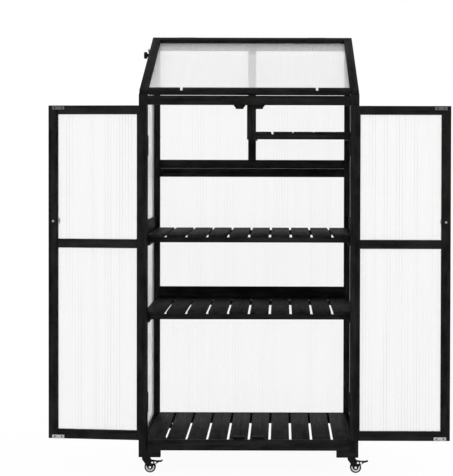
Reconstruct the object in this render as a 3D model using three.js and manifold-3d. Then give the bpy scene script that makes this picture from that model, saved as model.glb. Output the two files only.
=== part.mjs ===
// A wooden mini greenhouse on casters: a cabinet of battens and twin-wall sheets with a sloped lid,
// two doors, a slatted deck, two full shelves and a half shelf.
// Millimetres. X to the right, Y to the back, Z up. Inside the assembly group, Y is the depth behind
// the front faces of the posts, Z = 0 is the floor and X = 0 is the middle of the cabinet.
import * as THREE from "three";
import { ConvexGeometry } from "three/addons/geometries/ConvexGeometry.js";
import { mergeVertices } from "three/addons/utils/BufferGeometryUtils.js";
import Module from "manifold-3d";

const wasm = await Module();
wasm.setup();

// Cabinet
const BODY_WIDTH = 772;
const BODY_DEPTH = 570;
const POST = 30; // square section of the four posts
const EASE = 1.2; // chamfer along every batten
const SEAT_GAP = 0.3; // clearance between pieces that rest on each other
const GLUE_LINE = 0.15; // hairline at the joints of a glued frame
const TENON = 6;
const TENON_INSET = 4;
const OVERRUN = 5; // how far a cutting tool runs past a face
const BORE_CLEARANCE = 0.4;

// Heights above the floor
const CASTER_HEIGHT = 60;
const CASTER_BOARD_THICK = 24;
const CASTER_BOARD_WIDTH = 46;
const CASTER_END_WIDTH = 77; // of the blocks at the ends of each caster board
const DECK_TOP = 121;
const LOWER_SHELF_TOP = 570.5;
const UPPER_SHELF_TOP = 841.5;
const SEAM_HEIGHT = 1069.5; // where the upper and lower back rails meet
const MIDDLE_RAIL_TOP = 883;
const BACK_SHELF_RAIL_RISE = 42; // from the lower shelf's top to the top of the rail behind it
const POST_FRONT_TOP = 1334; // the lid's rest plane at the front faces of the posts
const FRONT_RAIL_DROP = 36.5; // from there to the underside of the front top rail
const HALF_SHELF_DROP = 93; // from that underside to the half shelf's top
const LID_SLOPE = THREE.MathUtils.degToRad(21.9);

// Rails
const RAIL = 30;
const FRONT_RAIL_HEIGHT = 32.5;
const BACK_RAIL_HEIGHT = 33; // of the pair that meets at the seam
const SIDE_RAIL_THICK = 15;
const MIDDLE_RAIL_HEIGHT = 50.5;
const BOTTOM_RAIL_THICK = 18;
const BACK_RAIL_THICK = 18;
const MULLION_WIDTH = 30;
const MULLION_THICK = 12;
const CLEAT_WIDTH = 26;
const CLEAT_HEIGHT = 30;
const SMALL_CLEAT_WIDTH = 12;
const SMALL_CLEAT_HEIGHT = 19;

// Twin-wall sheets
const SHEET = 4;
const GROOVE_DEPTH = 7;
const GROOVE_CLEARANCE = 0.3;
const SIDE_SHEET_INSET = 5; // from the cabinet's outer face to the sheet
const BACK_SHEET_INSET = 7;

// Shelves and deck
const SLAT_GAP = 8.3;
const SLAT_THICK = 9;
const FULL_SLATS = 10;
const HALF_SLATS = 5;
const HALF_SLAT_GAP = 4.5; // between the half shelf's slats, after the first gap
const SHELF_FRONT = 22; // depth of a shelf's front edge behind the posts' faces
const ROW_INSET = 22.65; // from the cabinet's side to the first slat
const SHELF_RAIL_HEIGHT = 18;
const SHELF_RAIL_THICK = 18;
const NOTCH_CLEARANCE = 1;
const HALF_SHELF_INSET = 17.8; // from the cabinet's right side to the half shelf
const HALF_SHELF_FRONT = 32;
const HALF_BACK_BEARER_HEIGHT = 13;

// Half shelf hanger
const HANGER_LEFT = -8;
const HANGER_WIDTH = 29;
const HANGER_THICK = 15;

// Doors
const DOOR_THICK = 16;
const DOOR_STILE = 33;
const DOOR_RAIL = 31;
const DOOR_BOTTOM_RAIL = 33;
const DOOR_MIDDLE_TOP = 827;
const DOOR_BOTTOM_GAP = 3;
const DOOR_TOP_GAP = 3;
const DOOR_HINGE_GAP = 4; // between the post and the door's hinge edge
const DOOR_MEETING_GAP = 7; // between the two doors
const DOOR_PIN_PROUD = 4; // pin ahead of the posts' faces
const LEFT_DOOR_OPEN = THREE.MathUtils.degToRad(186.5);
const RIGHT_DOOR_OPEN = THREE.MathUtils.degToRad(180);
const KNOB_HEIGHT = 889;
const KNOB_RADIUS = 17;
const KNOB_LENGTH = 24;
const KNOB_NECK_RADIUS = 7.5;
const KNOB_FOOT_RADIUS = 10;

// Butt hinges
const HINGE_LENGTH = 70;
const HINGE_LEAF = 1.2;
const HINGE_LEAF_DEPTH = 15;
const HINGE_BARREL_RADIUS = 3;
const HINGE_PIN_RADIUS = 1.3;
const HINGE_BORE_RADIUS = 1.7;
const KNUCKLE_GAP = 0.3;
const UPPER_HINGE_HEIGHT = 1154; // middle of the hinge
const LOWER_HINGE_HEIGHT = 256;

// Magnetic catches and strike plates
const CATCH_WIDTH = 43;
const CATCH_TIP_WIDTH = 26;
const CATCH_SHOULDER_WIDTH = 30;
const CATCH_SHOULDER_SHARE = 0.6; // of the catch's height, above the shoulders
const CATCH_HEIGHT = 13.5;
const LOW_CATCH_HEIGHT = 10;
const CATCH_DEPTH = 11.4;
const CATCH_BEHIND_DOOR = 2.3;
const CATCH_CENTRE = 34; // from the middle of the cabinet
const STRIKE_WIDTH = 44;
const STRIKE_HEIGHT = 11.5;
const STRIKE_RECESS = 1.2;
const STRIKE_FROM_EDGE = 13;
const STRIKE_FROM_TOP = 3;
const STRIKE_FROM_BOTTOM = 1.5;

// Lid
const LID_SIDE_INSET = 2; // from the cabinet's side to the lid's side
const LID_BATTEN = 30;
const LID_THICK = 14;
const LID_FRONT = 3; // depth of the lid's lower front edge
const LID_BACK_INSET = 2;
const LID_SHEET_INSET = 30; // from the lid's side to its sheet
const LID_SHEET_MARGIN = 8; // from the lid's ends to its sheet
const LID_RAIL_DROP = 5.3; // how far the rails under the sheet lie below the rest plane
const DRAIN_WIDTH = 9;
const DRAIN_SHARE = 0.62; // spacing of the drains as a share of the lid's width
const LID_HINGE_SHARE = 0.65; // spacing of the hinges as a share of the lid's width
const LID_PIN_BEHIND = 4.6;
const LID_PIN_RISE = 3;
const LID_LEAF_HEIGHT = 26;

// Lid stay
const STAY_BOLT_INSET = 130; // from the cabinet's back
const STAY_BOLT_DROP = 13;
const STAY_THICK = 2;
const STAY_WIDTH = 14;
const STAY_SIDE_GAP = 1;
const STAY_BOLT_RADIUS = 2.5;
const STAY_SLOT_HALF = 3;
const STAY_SLOT_SPARE = 1; // slot past the bolt when the lid is open
const STAY_SLOT_LEAD = 4; // slot past the bolt towards the pivot when the lid is closed
const STAY_END = 8;
const STAY_SCREW_HEAD = 5;
const STAY_KNOB_RADIUS = 13;
const STAY_KNOB_HEAD = 12;
const STAY_KNOB_NECK = 6;
const STAY_KNOB_NECK_RADIUS = 7;
const BOLT_IN_WOOD = 12;
const LID_OPEN = THREE.MathUtils.degToRad(60);

// Casters
const CASTER_SIDE_INSET = 23;
const CASTER_END_INSET = 36;
const WHEEL_RADIUS = 20;
const WHEEL_WIDTH = 14;
const HUB_RADIUS = 8;
const HUB_WIDTH = 16;
const RIM_RADIUS = 13.5;
const RIM_RECESS = 2.5;
const AXLE_RADIUS = 3;
const AXLE_HEAD_RADIUS = 4.6;
const AXLE_HEAD = 2;
const CASTER_TRAIL = 15;
const RACE_RADIUS = 14.5;
const RACE_HEIGHT = 7;
const STEM_RADIUS = 4;
const STEM_LENGTH = 17;
const FORK_PLATE = 2;
const FORK_CLEARANCE = 0.7;
const FORK_YOKE = 4;
const FORK_AXLE_BOSS = 7;
const PEDAL_PIVOT_X = 33.7;
const PEDAL_PIVOT_Z = 37;
const PEDAL_PIN_RADIUS = 1.6;
const PEDAL_LUG = 4.5;
const PEDAL_WIDTH = 15;
const PEDAL_REACH = 26;
const PEDAL_THICK = 2.7;
const PEDAL_NOSE = 6.5;
const ROUND_SIDES = 24;
const SMALL_SIDES = 16;
const ARC_SIDES = 8;

// Derived places
const HALF_WIDTH = BODY_WIDTH / 2;
const POST_INNER = HALF_WIDTH - POST;
const ROW_WIDTH = BODY_WIDTH - 2 * ROW_INSET;
const SLAT_WIDTH = (ROW_WIDTH - (FULL_SLATS - 1) * SLAT_GAP) / FULL_SLATS;
const SLAT_PITCH = SLAT_WIDTH + SLAT_GAP;
const HALF_SHELF_LEFT = HALF_WIDTH - HALF_SHELF_INSET - HALF_SLATS * SLAT_PITCH + SLAT_GAP;
const HALF_SHELF_WIDTH = HALF_SLATS * SLAT_PITCH - SLAT_GAP;
const HALF_GAPS = SLAT_GAP + (HALF_SLATS - 2) * HALF_SLAT_GAP;
const HALF_SLAT_WIDTH = (HALF_SHELF_WIDTH - HALF_GAPS) / HALF_SLATS;
const LID_WIDTH = BODY_WIDTH - 2 * LID_SIDE_INSET;
const LID_BACK = BODY_DEPTH - LID_BACK_INSET;
const LID_SHEET_WIDTH = LID_WIDTH - 2 * LID_SHEET_INSET;
const STAY_BOLT_DEPTH = BODY_DEPTH - STAY_BOLT_INSET;
const CASTER_X = HALF_WIDTH - CASTER_SIDE_INSET;
const CASTER_FRONT = CASTER_END_INSET;
const CASTER_BACK = BODY_DEPTH - CASTER_END_INSET;
const BODY_BOTTOM = CASTER_HEIGHT + CASTER_BOARD_THICK;
const BACK_PAIR_TOP = SEAM_HEIGHT + BACK_RAIL_HEIGHT;
const BACK_PAIR_BOTTOM = SEAM_HEIGHT - BACK_RAIL_HEIGHT;
const BACK_SHELF_RAIL_TOP = LOWER_SHELF_TOP + BACK_SHELF_RAIL_RISE;
const FRONT_RAIL_UNDERSIDE = POST_FRONT_TOP - FRONT_RAIL_DROP;
const HALF_SHELF_TOP = FRONT_RAIL_UNDERSIDE - HALF_SHELF_DROP;
const SLOPE_RISE = Math.tan(LID_SLOPE);
const SIDE_SHEET_OUTER = HALF_WIDTH - SIDE_SHEET_INSET;
const SIDE_SHEET_INNER = SIDE_SHEET_OUTER - SHEET;
const BACK_SHEET_BACK = BODY_DEPTH - BACK_SHEET_INSET;
const BACK_SHEET_FRONT = BACK_SHEET_BACK - SHEET;
const SHELF_BACK = BACK_SHEET_FRONT - 2 * SEAT_GAP - BACK_RAIL_THICK;
const BACK_POST_FRONT = BODY_DEPTH - POST;
const MIDDLE_RAIL_BOTTOM = MIDDLE_RAIL_TOP - MIDDLE_RAIL_HEIGHT;
const PIN_X = POST_INNER - DOOR_HINGE_GAP / 2;
const DOOR_WIDTH = POST_INNER - DOOR_HINGE_GAP - DOOR_MEETING_GAP / 2;
const DOOR_BOTTOM = DECK_TOP + DOOR_BOTTOM_GAP;
const DOOR_TOP = FRONT_RAIL_UNDERSIDE - DOOR_TOP_GAP;
const DOOR_MIDDLE_BOTTOM = DOOR_MIDDLE_TOP - DOOR_RAIL;
const LID_PIN_Y = BODY_DEPTH + LID_PIN_BEHIND;
const LID_PIN_Z = restPlane(BODY_DEPTH) + LID_PIN_RISE;
const DOOR_REACH = 2 * DOOR_PIN_PROUD + DOOR_THICK;
const HINGE_REACH = LID_PIN_BEHIND + HINGE_BARREL_RADIUS;
const FRONT_Y = DOOR_REACH - (DOOR_REACH + BODY_DEPTH + HINGE_REACH) / 2;

// The height of the lid's rest plane at a depth.
function restPlane(depth) {
  return POST_FRONT_TOP + depth * SLOPE_RISE;
}

// Materials
const blackWood = paint(0x1c1c1c, 0.62, 0);
const sheetPlastic = paint(0xf2f2f2, 0.25, 0);
const steel = paint(0xb9babc, 0.35, 1);
const blackSteel = paint(0x202124, 0.45, 0.6);
const blackPlastic = paint(0x17181a, 0.4, 0);
const wheelPlastic = paint(0x2a2a2c, 0.5, 0);

function paint(color, roughness, metalness) {
  return new THREE.MeshStandardMaterial({ color, roughness, metalness });
}

// Solids
function solidOf(geometry) {
  const bare = geometry.clone();
  bare.deleteAttribute("normal");
  bare.deleteAttribute("uv");
  const merged = mergeVertices(bare, 1e-4);
  return new wasm.Manifold(
    new wasm.Mesh({
      numProp: 3,
      vertProperties: merged.attributes.position.array,
      triVerts: new Uint32Array(merged.index.array),
    }),
  );
}

function geometryOf(solid) {
  const { vertProperties, triVerts } = solid.getMesh();
  const indexed = new THREE.BufferGeometry();
  indexed.setAttribute("position", new THREE.BufferAttribute(vertProperties, 3));
  indexed.setIndex(new THREE.BufferAttribute(triVerts, 1));
  const flat = indexed.toNonIndexed();
  flat.computeVertexNormals();
  return flat;
}

function join(...solids) {
  return solids.flat().reduce((whole, next) => whole.add(next));
}

function cut(solid, ...tools) {
  return tools.flat().reduce((left, tool) => left.subtract(tool), solid);
}

// A plain box between two limits on each axis, in any order.
function block(x, y, z) {
  const size = [x, y, z].map(([a, b]) => Math.abs(b - a));
  const middle = [x, y, z].map(([a, b]) => (a + b) / 2);
  return solidOf(new THREE.BoxGeometry(...size).translate(...middle));
}

// A batten: a box with a small chamfer along each edge.
function batten(x, y, z, ease = EASE) {
  const limits = [x, y, z].map(([a, b]) => [Math.min(a, b), Math.max(a, b)]);
  const points = [];
  for (let corner = 0; corner < 8; corner++) {
    const signs = [corner & 1, (corner >> 1) & 1, (corner >> 2) & 1];
    for (let proud = 0; proud < 3; proud++) {
      const at = limits.map(([low, high], axis) => {
        const inset = axis === proud ? 0 : ease;
        return signs[axis] ? high - inset : low + inset;
      });
      points.push(new THREE.Vector3(...at));
    }
  }
  return solidOf(new ConvexGeometry(points));
}

// A closed solid of revolution about Z from [radius, height] points.
function turned(profile, sides = ROUND_SIDES) {
  const points = profile.map(([radius, height]) => new THREE.Vector2(radius, height));
  return new THREE.LatheGeometry(points, sides).rotateX(Math.PI / 2);
}

function rod(radius, from, to, sides = SMALL_SIDES) {
  return turned([[0, from], [radius, from], [radius, to], [0, to]], sides);
}

function tube(outer, inner, from, to, sides = SMALL_SIDES) {
  return turned([[inner, from], [outer, from], [outer, to], [inner, to], [inner, from]], sides);
}

// A flat outline in X and Z, given its thickness along Y around the middle.
function plate(outline, thickness, holes = []) {
  const shape = new THREE.Shape();
  outline(shape);
  for (const [x, z, radius] of holes) {
    const hole = new THREE.Path();
    hole.absarc(x, z, radius, 0, 2 * Math.PI, true);
    shape.holes.push(hole);
  }
  const settings = { depth: thickness, bevelEnabled: false, curveSegments: ARC_SIDES };
  const geometry = new THREE.ExtrudeGeometry(shape, settings);
  return geometry.translate(0, 0, -thickness / 2).rotateX(Math.PI / 2);
}

// Everything above a plane that is parallel to the lid, a drop below its rest plane.
function aboveLidPlane(drop) {
  const reach = BODY_WIDTH + BODY_DEPTH;
  const tool = new THREE.BoxGeometry(reach, 2 * reach, reach).translate(0, 0, reach / 2 - drop);
  return solidOf(tool.rotateX(LID_SLOPE).translate(0, 0, POST_FRONT_TOP));
}

function span(side, near, far) {
  return [side * near, side * far];
}

function grow([a, b], by) {
  return [Math.min(a, b) - by, Math.max(a, b) + by];
}

const assembly = new THREE.Group();
assembly.position.y = FRONT_Y;

function add(name, shape, material, parent = assembly) {
  const geometry = shape.isBufferGeometry ? shape : geometryOf(shape);
  const mesh = new THREE.Mesh(geometry, material);
  mesh.name = name;
  parent.add(mesh);
  return mesh;
}

// Side frames
const sideRailSpan = [POST + GLUE_LINE, BACK_POST_FRONT - GLUE_LINE];
const tenonSpan = grow([POST, BACK_POST_FRONT], TENON);

function sideRail(side, z) {
  const x = span(side, HALF_WIDTH - SIDE_RAIL_THICK, HALF_WIDTH);
  const core = block(grow(x, -TENON_INSET), tenonSpan, grow(z, -TENON_INSET));
  return [batten(x, sideRailSpan, z), core];
}

function cleat(side, inner, width, top, height) {
  const x = span(side, inner, inner + width);
  const z = [top - height, top];
  const touching = span(side, POST_INNER + TENON_INSET / 2, inner + width - TENON_INSET / 2);
  const core = block(touching, tenonSpan, grow(z, -TENON_INSET));
  return [batten(x, sideRailSpan, z), core];
}

function slopedBatten(x, top, height, y) {
  const length = BODY_DEPTH / Math.cos(LID_SLOPE);
  const solid = batten(x, [0, 2 * length], [-top - height, -top]);
  const turnedSolid = solidOf(geometryOf(solid).rotateX(LID_SLOPE).translate(0, 0, POST_FRONT_TOP));
  return turnedSolid.intersect(block(grow(x, OVERRUN), y, [0, 2 * POST_FRONT_TOP]));
}

function slopedSideRail(side) {
  const x = span(side, HALF_WIDTH - SIDE_RAIL_THICK, HALF_WIDTH);
  const core = slopedBatten(grow(x, -TENON_INSET), TENON_INSET, RAIL - 2 * TENON_INSET, tenonSpan);
  return [slopedBatten(x, SEAT_GAP, RAIL, sideRailSpan), core];
}

function sidePost(side, front) {
  const y = front ? [0, POST] : [BACK_POST_FRONT, BODY_DEPTH];
  const x = span(side, POST_INNER, HALF_WIDTH);
  const post = batten(x, y, [BODY_BOTTOM + SEAT_GAP, restPlane(BODY_DEPTH) + OVERRUN]);
  return cut(post, aboveLidPlane(SEAT_GAP));
}

// The solid of an upper side sheet, or the tool that cuts its groove when it is grown.
function upperSideSheet(side, growth) {
  const x = grow(span(side, SIDE_SHEET_INNER, SIDE_SHEET_OUTER), growth);
  const y = grow([POST - GROOVE_DEPTH, BACK_POST_FRONT + GROOVE_DEPTH], growth);
  const low = MIDDLE_RAIL_TOP - GROOVE_DEPTH - growth;
  const whole = block(x, y, [low, restPlane(BODY_DEPTH)]);
  return cut(whole, aboveLidPlane(RAIL - GROOVE_DEPTH - growth));
}

function lowerSideSheet(side, growth) {
  const x = grow(span(side, SIDE_SHEET_INNER, SIDE_SHEET_OUTER), growth);
  const y = grow([POST - GROOVE_DEPTH, BACK_POST_FRONT + GROOVE_DEPTH], growth);
  return block(x, y, grow([DECK_TOP - GROOVE_DEPTH, MIDDLE_RAIL_BOTTOM + GROOVE_DEPTH], growth));
}

function upperBackSheet(growth) {
  const x = grow([-POST_INNER - GROOVE_DEPTH, POST_INNER + GROOVE_DEPTH], growth);
  const y = grow([BACK_SHEET_FRONT, BACK_SHEET_BACK], growth);
  const high = restPlane(BACK_SHEET_FRONT) - LID_RAIL_DROP - RAIL + GROOVE_DEPTH;
  return block(x, y, grow([BACK_PAIR_TOP - GROOVE_DEPTH, high], growth));
}

function lowerBackSheet(growth) {
  const x = grow([-POST_INNER - GROOVE_DEPTH, POST_INNER + GROOVE_DEPTH], growth);
  const y = grow([BACK_SHEET_FRONT, BACK_SHEET_BACK], growth);
  return block(x, y, grow([DECK_TOP - GROOVE_DEPTH, BACK_PAIR_BOTTOM + GROOVE_DEPTH], growth));
}

const stayBolt = {
  y: STAY_BOLT_DEPTH,
  z: restPlane(STAY_BOLT_DEPTH) - STAY_BOLT_DROP,
};

function alongX(geometry, side) {
  return geometry.rotateY((side * Math.PI) / 2);
}

function sideFrame(side) {
  const cleatInner = SIDE_SHEET_INNER - SEAT_GAP - CLEAT_WIDTH;
  const shelfSeat = SLAT_THICK + SEAT_GAP;
  const parts = [
    sidePost(side, true),
    sidePost(side, false),
    slopedSideRail(side),
    sideRail(side, [MIDDLE_RAIL_BOTTOM, MIDDLE_RAIL_TOP]),
    sideRail(side, [BODY_BOTTOM + SEAT_GAP, DECK_TOP]),
    cleat(side, cleatInner, CLEAT_WIDTH, LOWER_SHELF_TOP - shelfSeat, CLEAT_HEIGHT),
    cleat(side, cleatInner, CLEAT_WIDTH, UPPER_SHELF_TOP - shelfSeat, CLEAT_HEIGHT),
  ];
  if (side > 0) {
    const top = HALF_SHELF_TOP - shelfSeat;
    parts.push(cleat(side, POST_INNER, SMALL_CLEAT_WIDTH, top, SMALL_CLEAT_HEIGHT));
  }
  const grooves = [
    upperSideSheet(side, GROOVE_CLEARANCE),
    lowerSideSheet(side, GROOVE_CLEARANCE),
    upperBackSheet(GROOVE_CLEARANCE),
    lowerBackSheet(GROOVE_CLEARANCE),
  ];
  if (side < 0) {
    const radius = STAY_BOLT_RADIUS + BORE_CLEARANCE;
    const bore = rod(radius, HALF_WIDTH - BOLT_IN_WOOD - SEAT_GAP, HALF_WIDTH + OVERRUN);
    grooves.push(solidOf(alongX(bore, side).translate(0, stayBolt.y, stayBolt.z)));
  }
  return cut(join(...parts), grooves);
}

add("side_frame_left", sideFrame(-1), blackWood);
add("side_frame_right", sideFrame(1), blackWood);
add("side_sheet_upper_left", upperSideSheet(-1, 0), sheetPlastic);
add("side_sheet_upper_right", upperSideSheet(1, 0), sheetPlastic);
add("side_sheet_lower_left", lowerSideSheet(-1, 0), sheetPlastic);
add("side_sheet_lower_right", lowerSideSheet(1, 0), sheetPlastic);
add("back_sheet_upper", upperBackSheet(0), sheetPlastic);
add("back_sheet_lower", lowerBackSheet(0), sheetPlastic);

// Front and back rails
const betweenPosts = [-POST_INNER + SEAT_GAP, POST_INNER - SEAT_GAP];

add(
  "front_top_rail",
  batten(betweenPosts, [0, POST], [FRONT_RAIL_UNDERSIDE, FRONT_RAIL_UNDERSIDE + FRONT_RAIL_HEIGHT]),
  blackWood,
);
add(
  "front_bottom_rail",
  batten(betweenPosts, [0, BOTTOM_RAIL_THICK], [BODY_BOTTOM + SEAT_GAP, DECK_TOP]),
  blackWood,
);

const backRailDepth = [BODY_DEPTH - BACK_RAIL_THICK, BODY_DEPTH];
const backGrooves = [upperBackSheet(GROOVE_CLEARANCE), lowerBackSheet(GROOVE_CLEARANCE)];

function backRail(z, depth = backRailDepth) {
  return cut(batten(betweenPosts, depth, z), backGrooves);
}

// The upper back frame: a top rail whose top follows the lid, the upper middle rail and the mullion.
function upperBackFrame() {
  const topOfRail = restPlane(BODY_DEPTH);
  const bottomOfRail = restPlane(BACK_SHEET_FRONT) - LID_RAIL_DROP - RAIL;
  const topBatten = batten(betweenPosts, backRailDepth, [bottomOfRail, topOfRail]);
  const top = cut(topBatten, aboveLidPlane(LID_RAIL_DROP));
  const bottom = batten(betweenPosts, backRailDepth, [SEAM_HEIGHT + GLUE_LINE, BACK_PAIR_TOP]);
  const mullionX = [-MULLION_WIDTH / 2, MULLION_WIDTH / 2];
  const mullionFront = BACK_SHEET_FRONT - SEAT_GAP - MULLION_THICK;
  const mullionY = [mullionFront, mullionFront + MULLION_THICK];
  const mullion = batten(mullionX, mullionY, [BACK_PAIR_TOP + GLUE_LINE, bottomOfRail - GLUE_LINE]);
  const tenonY = [BODY_DEPTH - BACK_RAIL_THICK + EASE, mullionY[1] - EASE];
  const tenonZ = [BACK_PAIR_TOP - TENON, bottomOfRail + TENON];
  const core = block(grow(mullionX, -TENON_INSET), tenonY, tenonZ);
  return cut(join(top, bottom, mullion, core), backGrooves);
}

add("back_frame_upper", upperBackFrame(), blackWood);
add("back_rail_middle", backRail([BACK_PAIR_BOTTOM, SEAM_HEIGHT - GLUE_LINE]), blackWood);
add("back_rail_bottom", backRail([BODY_BOTTOM + SEAT_GAP, DECK_TOP]), blackWood);
const shelfRailDepth = [BACK_SHEET_FRONT - SEAT_GAP - BACK_RAIL_THICK, BACK_SHEET_FRONT - SEAT_GAP];
add(
  "back_rail_shelf",
  batten(betweenPosts, shelfRailDepth, [LOWER_SHELF_TOP - SLAT_THICK, BACK_SHELF_RAIL_TOP]),
  blackWood,
);

// Shelves and deck
function slatRow(lefts, width, front, back, top) {
  return lefts.map((x) => batten([x, x + width], [front, back], [top - SLAT_THICK, top]));
}

// A cross rail under slats, with a core that ties it to each slat.
function slatBearer(slatsX, width, x, y, top, height) {
  const z = [top - SLAT_THICK - height, top - SLAT_THICK - GLUE_LINE];
  const parts = [batten(x, y, z)];
  for (const left of slatsX) {
    const tie = [left + TENON_INSET, left + width - TENON_INSET];
    const within = [Math.max(tie[0], Math.min(...x) + EASE), Math.min(tie[1], Math.max(...x) - EASE)];
    const depth = grow(y, -TENON_INSET);
    parts.push(block(within, depth, [z[1] - TENON, z[1] + SLAT_THICK - TENON_INSET]));
  }
  return parts;
}

function postNotches() {
  const reach = HALF_WIDTH;
  const inner = POST_INNER - NOTCH_CLEARANCE;
  const zones = [];
  for (const side of [-1, 1]) {
    for (const y of [[-OVERRUN, POST + NOTCH_CLEARANCE], [BACK_POST_FRONT - NOTCH_CLEARANCE, BODY_DEPTH]]) {
      zones.push(block(span(side, inner, reach), y, [0, restPlane(BODY_DEPTH)]));
    }
  }
  return zones;
}

function slatShelf({ lefts, width, front, back, top, bearerX, bearerHeight, backBearerHeight }) {
  const frontBearer = [front, front + SHELF_RAIL_THICK];
  const backBearer = [back - SHELF_RAIL_THICK, back];
  const parts = [
    slatRow(lefts, width, front, back, top),
    slatBearer(lefts, width, bearerX, frontBearer, top, bearerHeight),
    slatBearer(lefts, width, bearerX, backBearer, top, backBearerHeight ?? bearerHeight),
  ];
  return cut(join(...parts), postNotches());
}

const shelfBearer = SIDE_SHEET_INNER - SEAT_GAP - CLEAT_WIDTH - NOTCH_CLEARANCE;
const deckFront = BOTTOM_RAIL_THICK + SEAT_GAP;
const deckBack = BODY_DEPTH - BACK_RAIL_THICK - SEAT_GAP;
const fullShelf = {
  lefts: Array.from({ length: FULL_SLATS }, (_, i) => -ROW_WIDTH / 2 + i * SLAT_PITCH),
  width: SLAT_WIDTH,
  front: SHELF_FRONT,
  back: SHELF_BACK,
  bearerX: [-shelfBearer, shelfBearer],
  bearerHeight: SHELF_RAIL_HEIGHT,
};
add("shelf_lower", slatShelf({ ...fullShelf, top: LOWER_SHELF_TOP }), blackWood);
add("shelf_upper", slatShelf({ ...fullShelf, top: UPPER_SHELF_TOP }), blackWood);
add(
  "deck",
  slatShelf({
    ...fullShelf,
    top: DECK_TOP,
    front: deckFront,
    back: deckBack,
    bearerX: [-POST_INNER + NOTCH_CLEARANCE, POST_INNER - NOTCH_CLEARANCE],
    bearerHeight: DECK_TOP - SLAT_THICK - BODY_BOTTOM - SEAT_GAP,
  }),
  blackWood,
);

const hangerX = [HANGER_LEFT, HANGER_LEFT + HANGER_WIDTH];
const hangerY = [POST + SEAT_GAP, POST + SEAT_GAP + HANGER_THICK];
const halfSeat = HALF_SHELF_TOP - SLAT_THICK - SEAT_GAP;
const leftCleatX = [hangerX[1] - SMALL_CLEAT_WIDTH, hangerX[1]];

// The batten behind the front top rail, with the cleat that runs back to the mullion.
function halfShelfHanger() {
  const low = halfSeat - SMALL_CLEAT_HEIGHT;
  const bar = batten(hangerX, hangerY, [low, FRONT_RAIL_UNDERSIDE + FRONT_RAIL_HEIGHT]);
  const mullionFront = BACK_SHEET_FRONT - SEAT_GAP - MULLION_THICK;
  const run = [hangerY[0], mullionFront - SEAT_GAP];
  const notch = block(grow(leftCleatX, GLUE_LINE), grow(hangerY, OVERRUN), [0, halfSeat + GLUE_LINE]);
  const slatRoom = block([HALF_SHELF_LEFT - NOTCH_CLEARANCE, hangerX[1] + OVERRUN], grow(hangerY, OVERRUN), [
    halfSeat,
    HALF_SHELF_TOP + NOTCH_CLEARANCE,
  ]);
  const rest = cut(bar, notch, slatRoom);
  const runner = batten(leftCleatX, run, [low, halfSeat]);
  const coreX = [leftCleatX[0] - TENON, leftCleatX[0] + TENON];
  const core = block(coreX, grow(hangerY, -TENON_INSET), grow([low, halfSeat], -TENON_INSET));
  return join(rest, runner, core);
}

// The left edges of the half shelf's slats: a full gap after the first slat, then narrow ones.
function halfSlatLefts() {
  const lefts = [HALF_SHELF_LEFT];
  for (let i = 1; i < HALF_SLATS; i++) {
    const gap = i === 1 ? SLAT_GAP : HALF_SLAT_GAP;
    lefts.push(lefts[i - 1] + HALF_SLAT_WIDTH + gap);
  }
  return lefts;
}

add("half_shelf_hanger", halfShelfHanger(), blackWood);
add(
  "shelf_half",
  slatShelf({
    lefts: halfSlatLefts(),
    width: HALF_SLAT_WIDTH,
    front: HALF_SHELF_FRONT,
    back: SHELF_BACK,
    top: HALF_SHELF_TOP,
    bearerX: [hangerX[1] + NOTCH_CLEARANCE, POST_INNER - NOTCH_CLEARANCE],
    bearerHeight: SHELF_RAIL_HEIGHT,
    backBearerHeight: HALF_BACK_BEARER_HEIGHT,
  }),
  blackWood,
);

// Caster boards
const casterPlaces = [
  ["front_left", -1, CASTER_FRONT],
  ["front_right", 1, CASTER_FRONT],
  ["back_left", -1, CASTER_BACK],
  ["back_right", 1, CASTER_BACK],
];

// A board under a side frame, with a wider block at each end.
function casterBoard(side) {
  const z = [CASTER_HEIGHT, BODY_BOTTOM];
  const endX = span(side, HALF_WIDTH - CASTER_END_WIDTH, HALF_WIDTH);
  const board = join(
    batten(span(side, HALF_WIDTH - CASTER_BOARD_WIDTH, HALF_WIDTH), [0, BODY_DEPTH], z),
    batten(endX, [0, BOTTOM_RAIL_THICK], z),
    batten(endX, [BODY_DEPTH - BOTTOM_RAIL_THICK, BODY_DEPTH], z),
  );
  const bores = [CASTER_FRONT, CASTER_BACK].map((y) => {
    const top = CASTER_HEIGHT + STEM_LENGTH + BORE_CLEARANCE;
    const bore = rod(STEM_RADIUS + BORE_CLEARANCE, CASTER_HEIGHT - OVERRUN, top);
    return solidOf(bore.translate(side * CASTER_X, y, 0));
  });
  return cut(board, bores);
}

add("caster_board_left", casterBoard(-1), blackWood);
add("caster_board_right", casterBoard(1), blackWood);

// Magnetic catches
function topCatch(side) {
  const z = FRONT_RAIL_UNDERSIDE - SEAT_GAP;
  const outline = (shape) => {
    const shoulder = z - CATCH_SHOULDER_SHARE * CATCH_HEIGHT;
    shape.moveTo(-CATCH_WIDTH / 2, z);
    shape.lineTo(-CATCH_SHOULDER_WIDTH / 2, shoulder);
    shape.lineTo(-CATCH_TIP_WIDTH / 2, z - CATCH_HEIGHT);
    shape.lineTo(CATCH_TIP_WIDTH / 2, z - CATCH_HEIGHT);
    shape.lineTo(CATCH_SHOULDER_WIDTH / 2, shoulder);
    shape.lineTo(CATCH_WIDTH / 2, z);
  };
  const depth = DOOR_THICK + CATCH_BEHIND_DOOR + CATCH_DEPTH / 2;
  return plate(outline, CATCH_DEPTH).translate(side * CATCH_CENTRE, depth, 0);
}

function bottomCatch(side) {
  const x = grow([side * CATCH_CENTRE, side * CATCH_CENTRE], CATCH_WIDTH / 2);
  const front = deckFront + SEAT_GAP;
  const z = [DECK_TOP + SEAT_GAP, DECK_TOP + SEAT_GAP + LOW_CATCH_HEIGHT];
  return batten(x, [front, front + CATCH_DEPTH], z);
}

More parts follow.
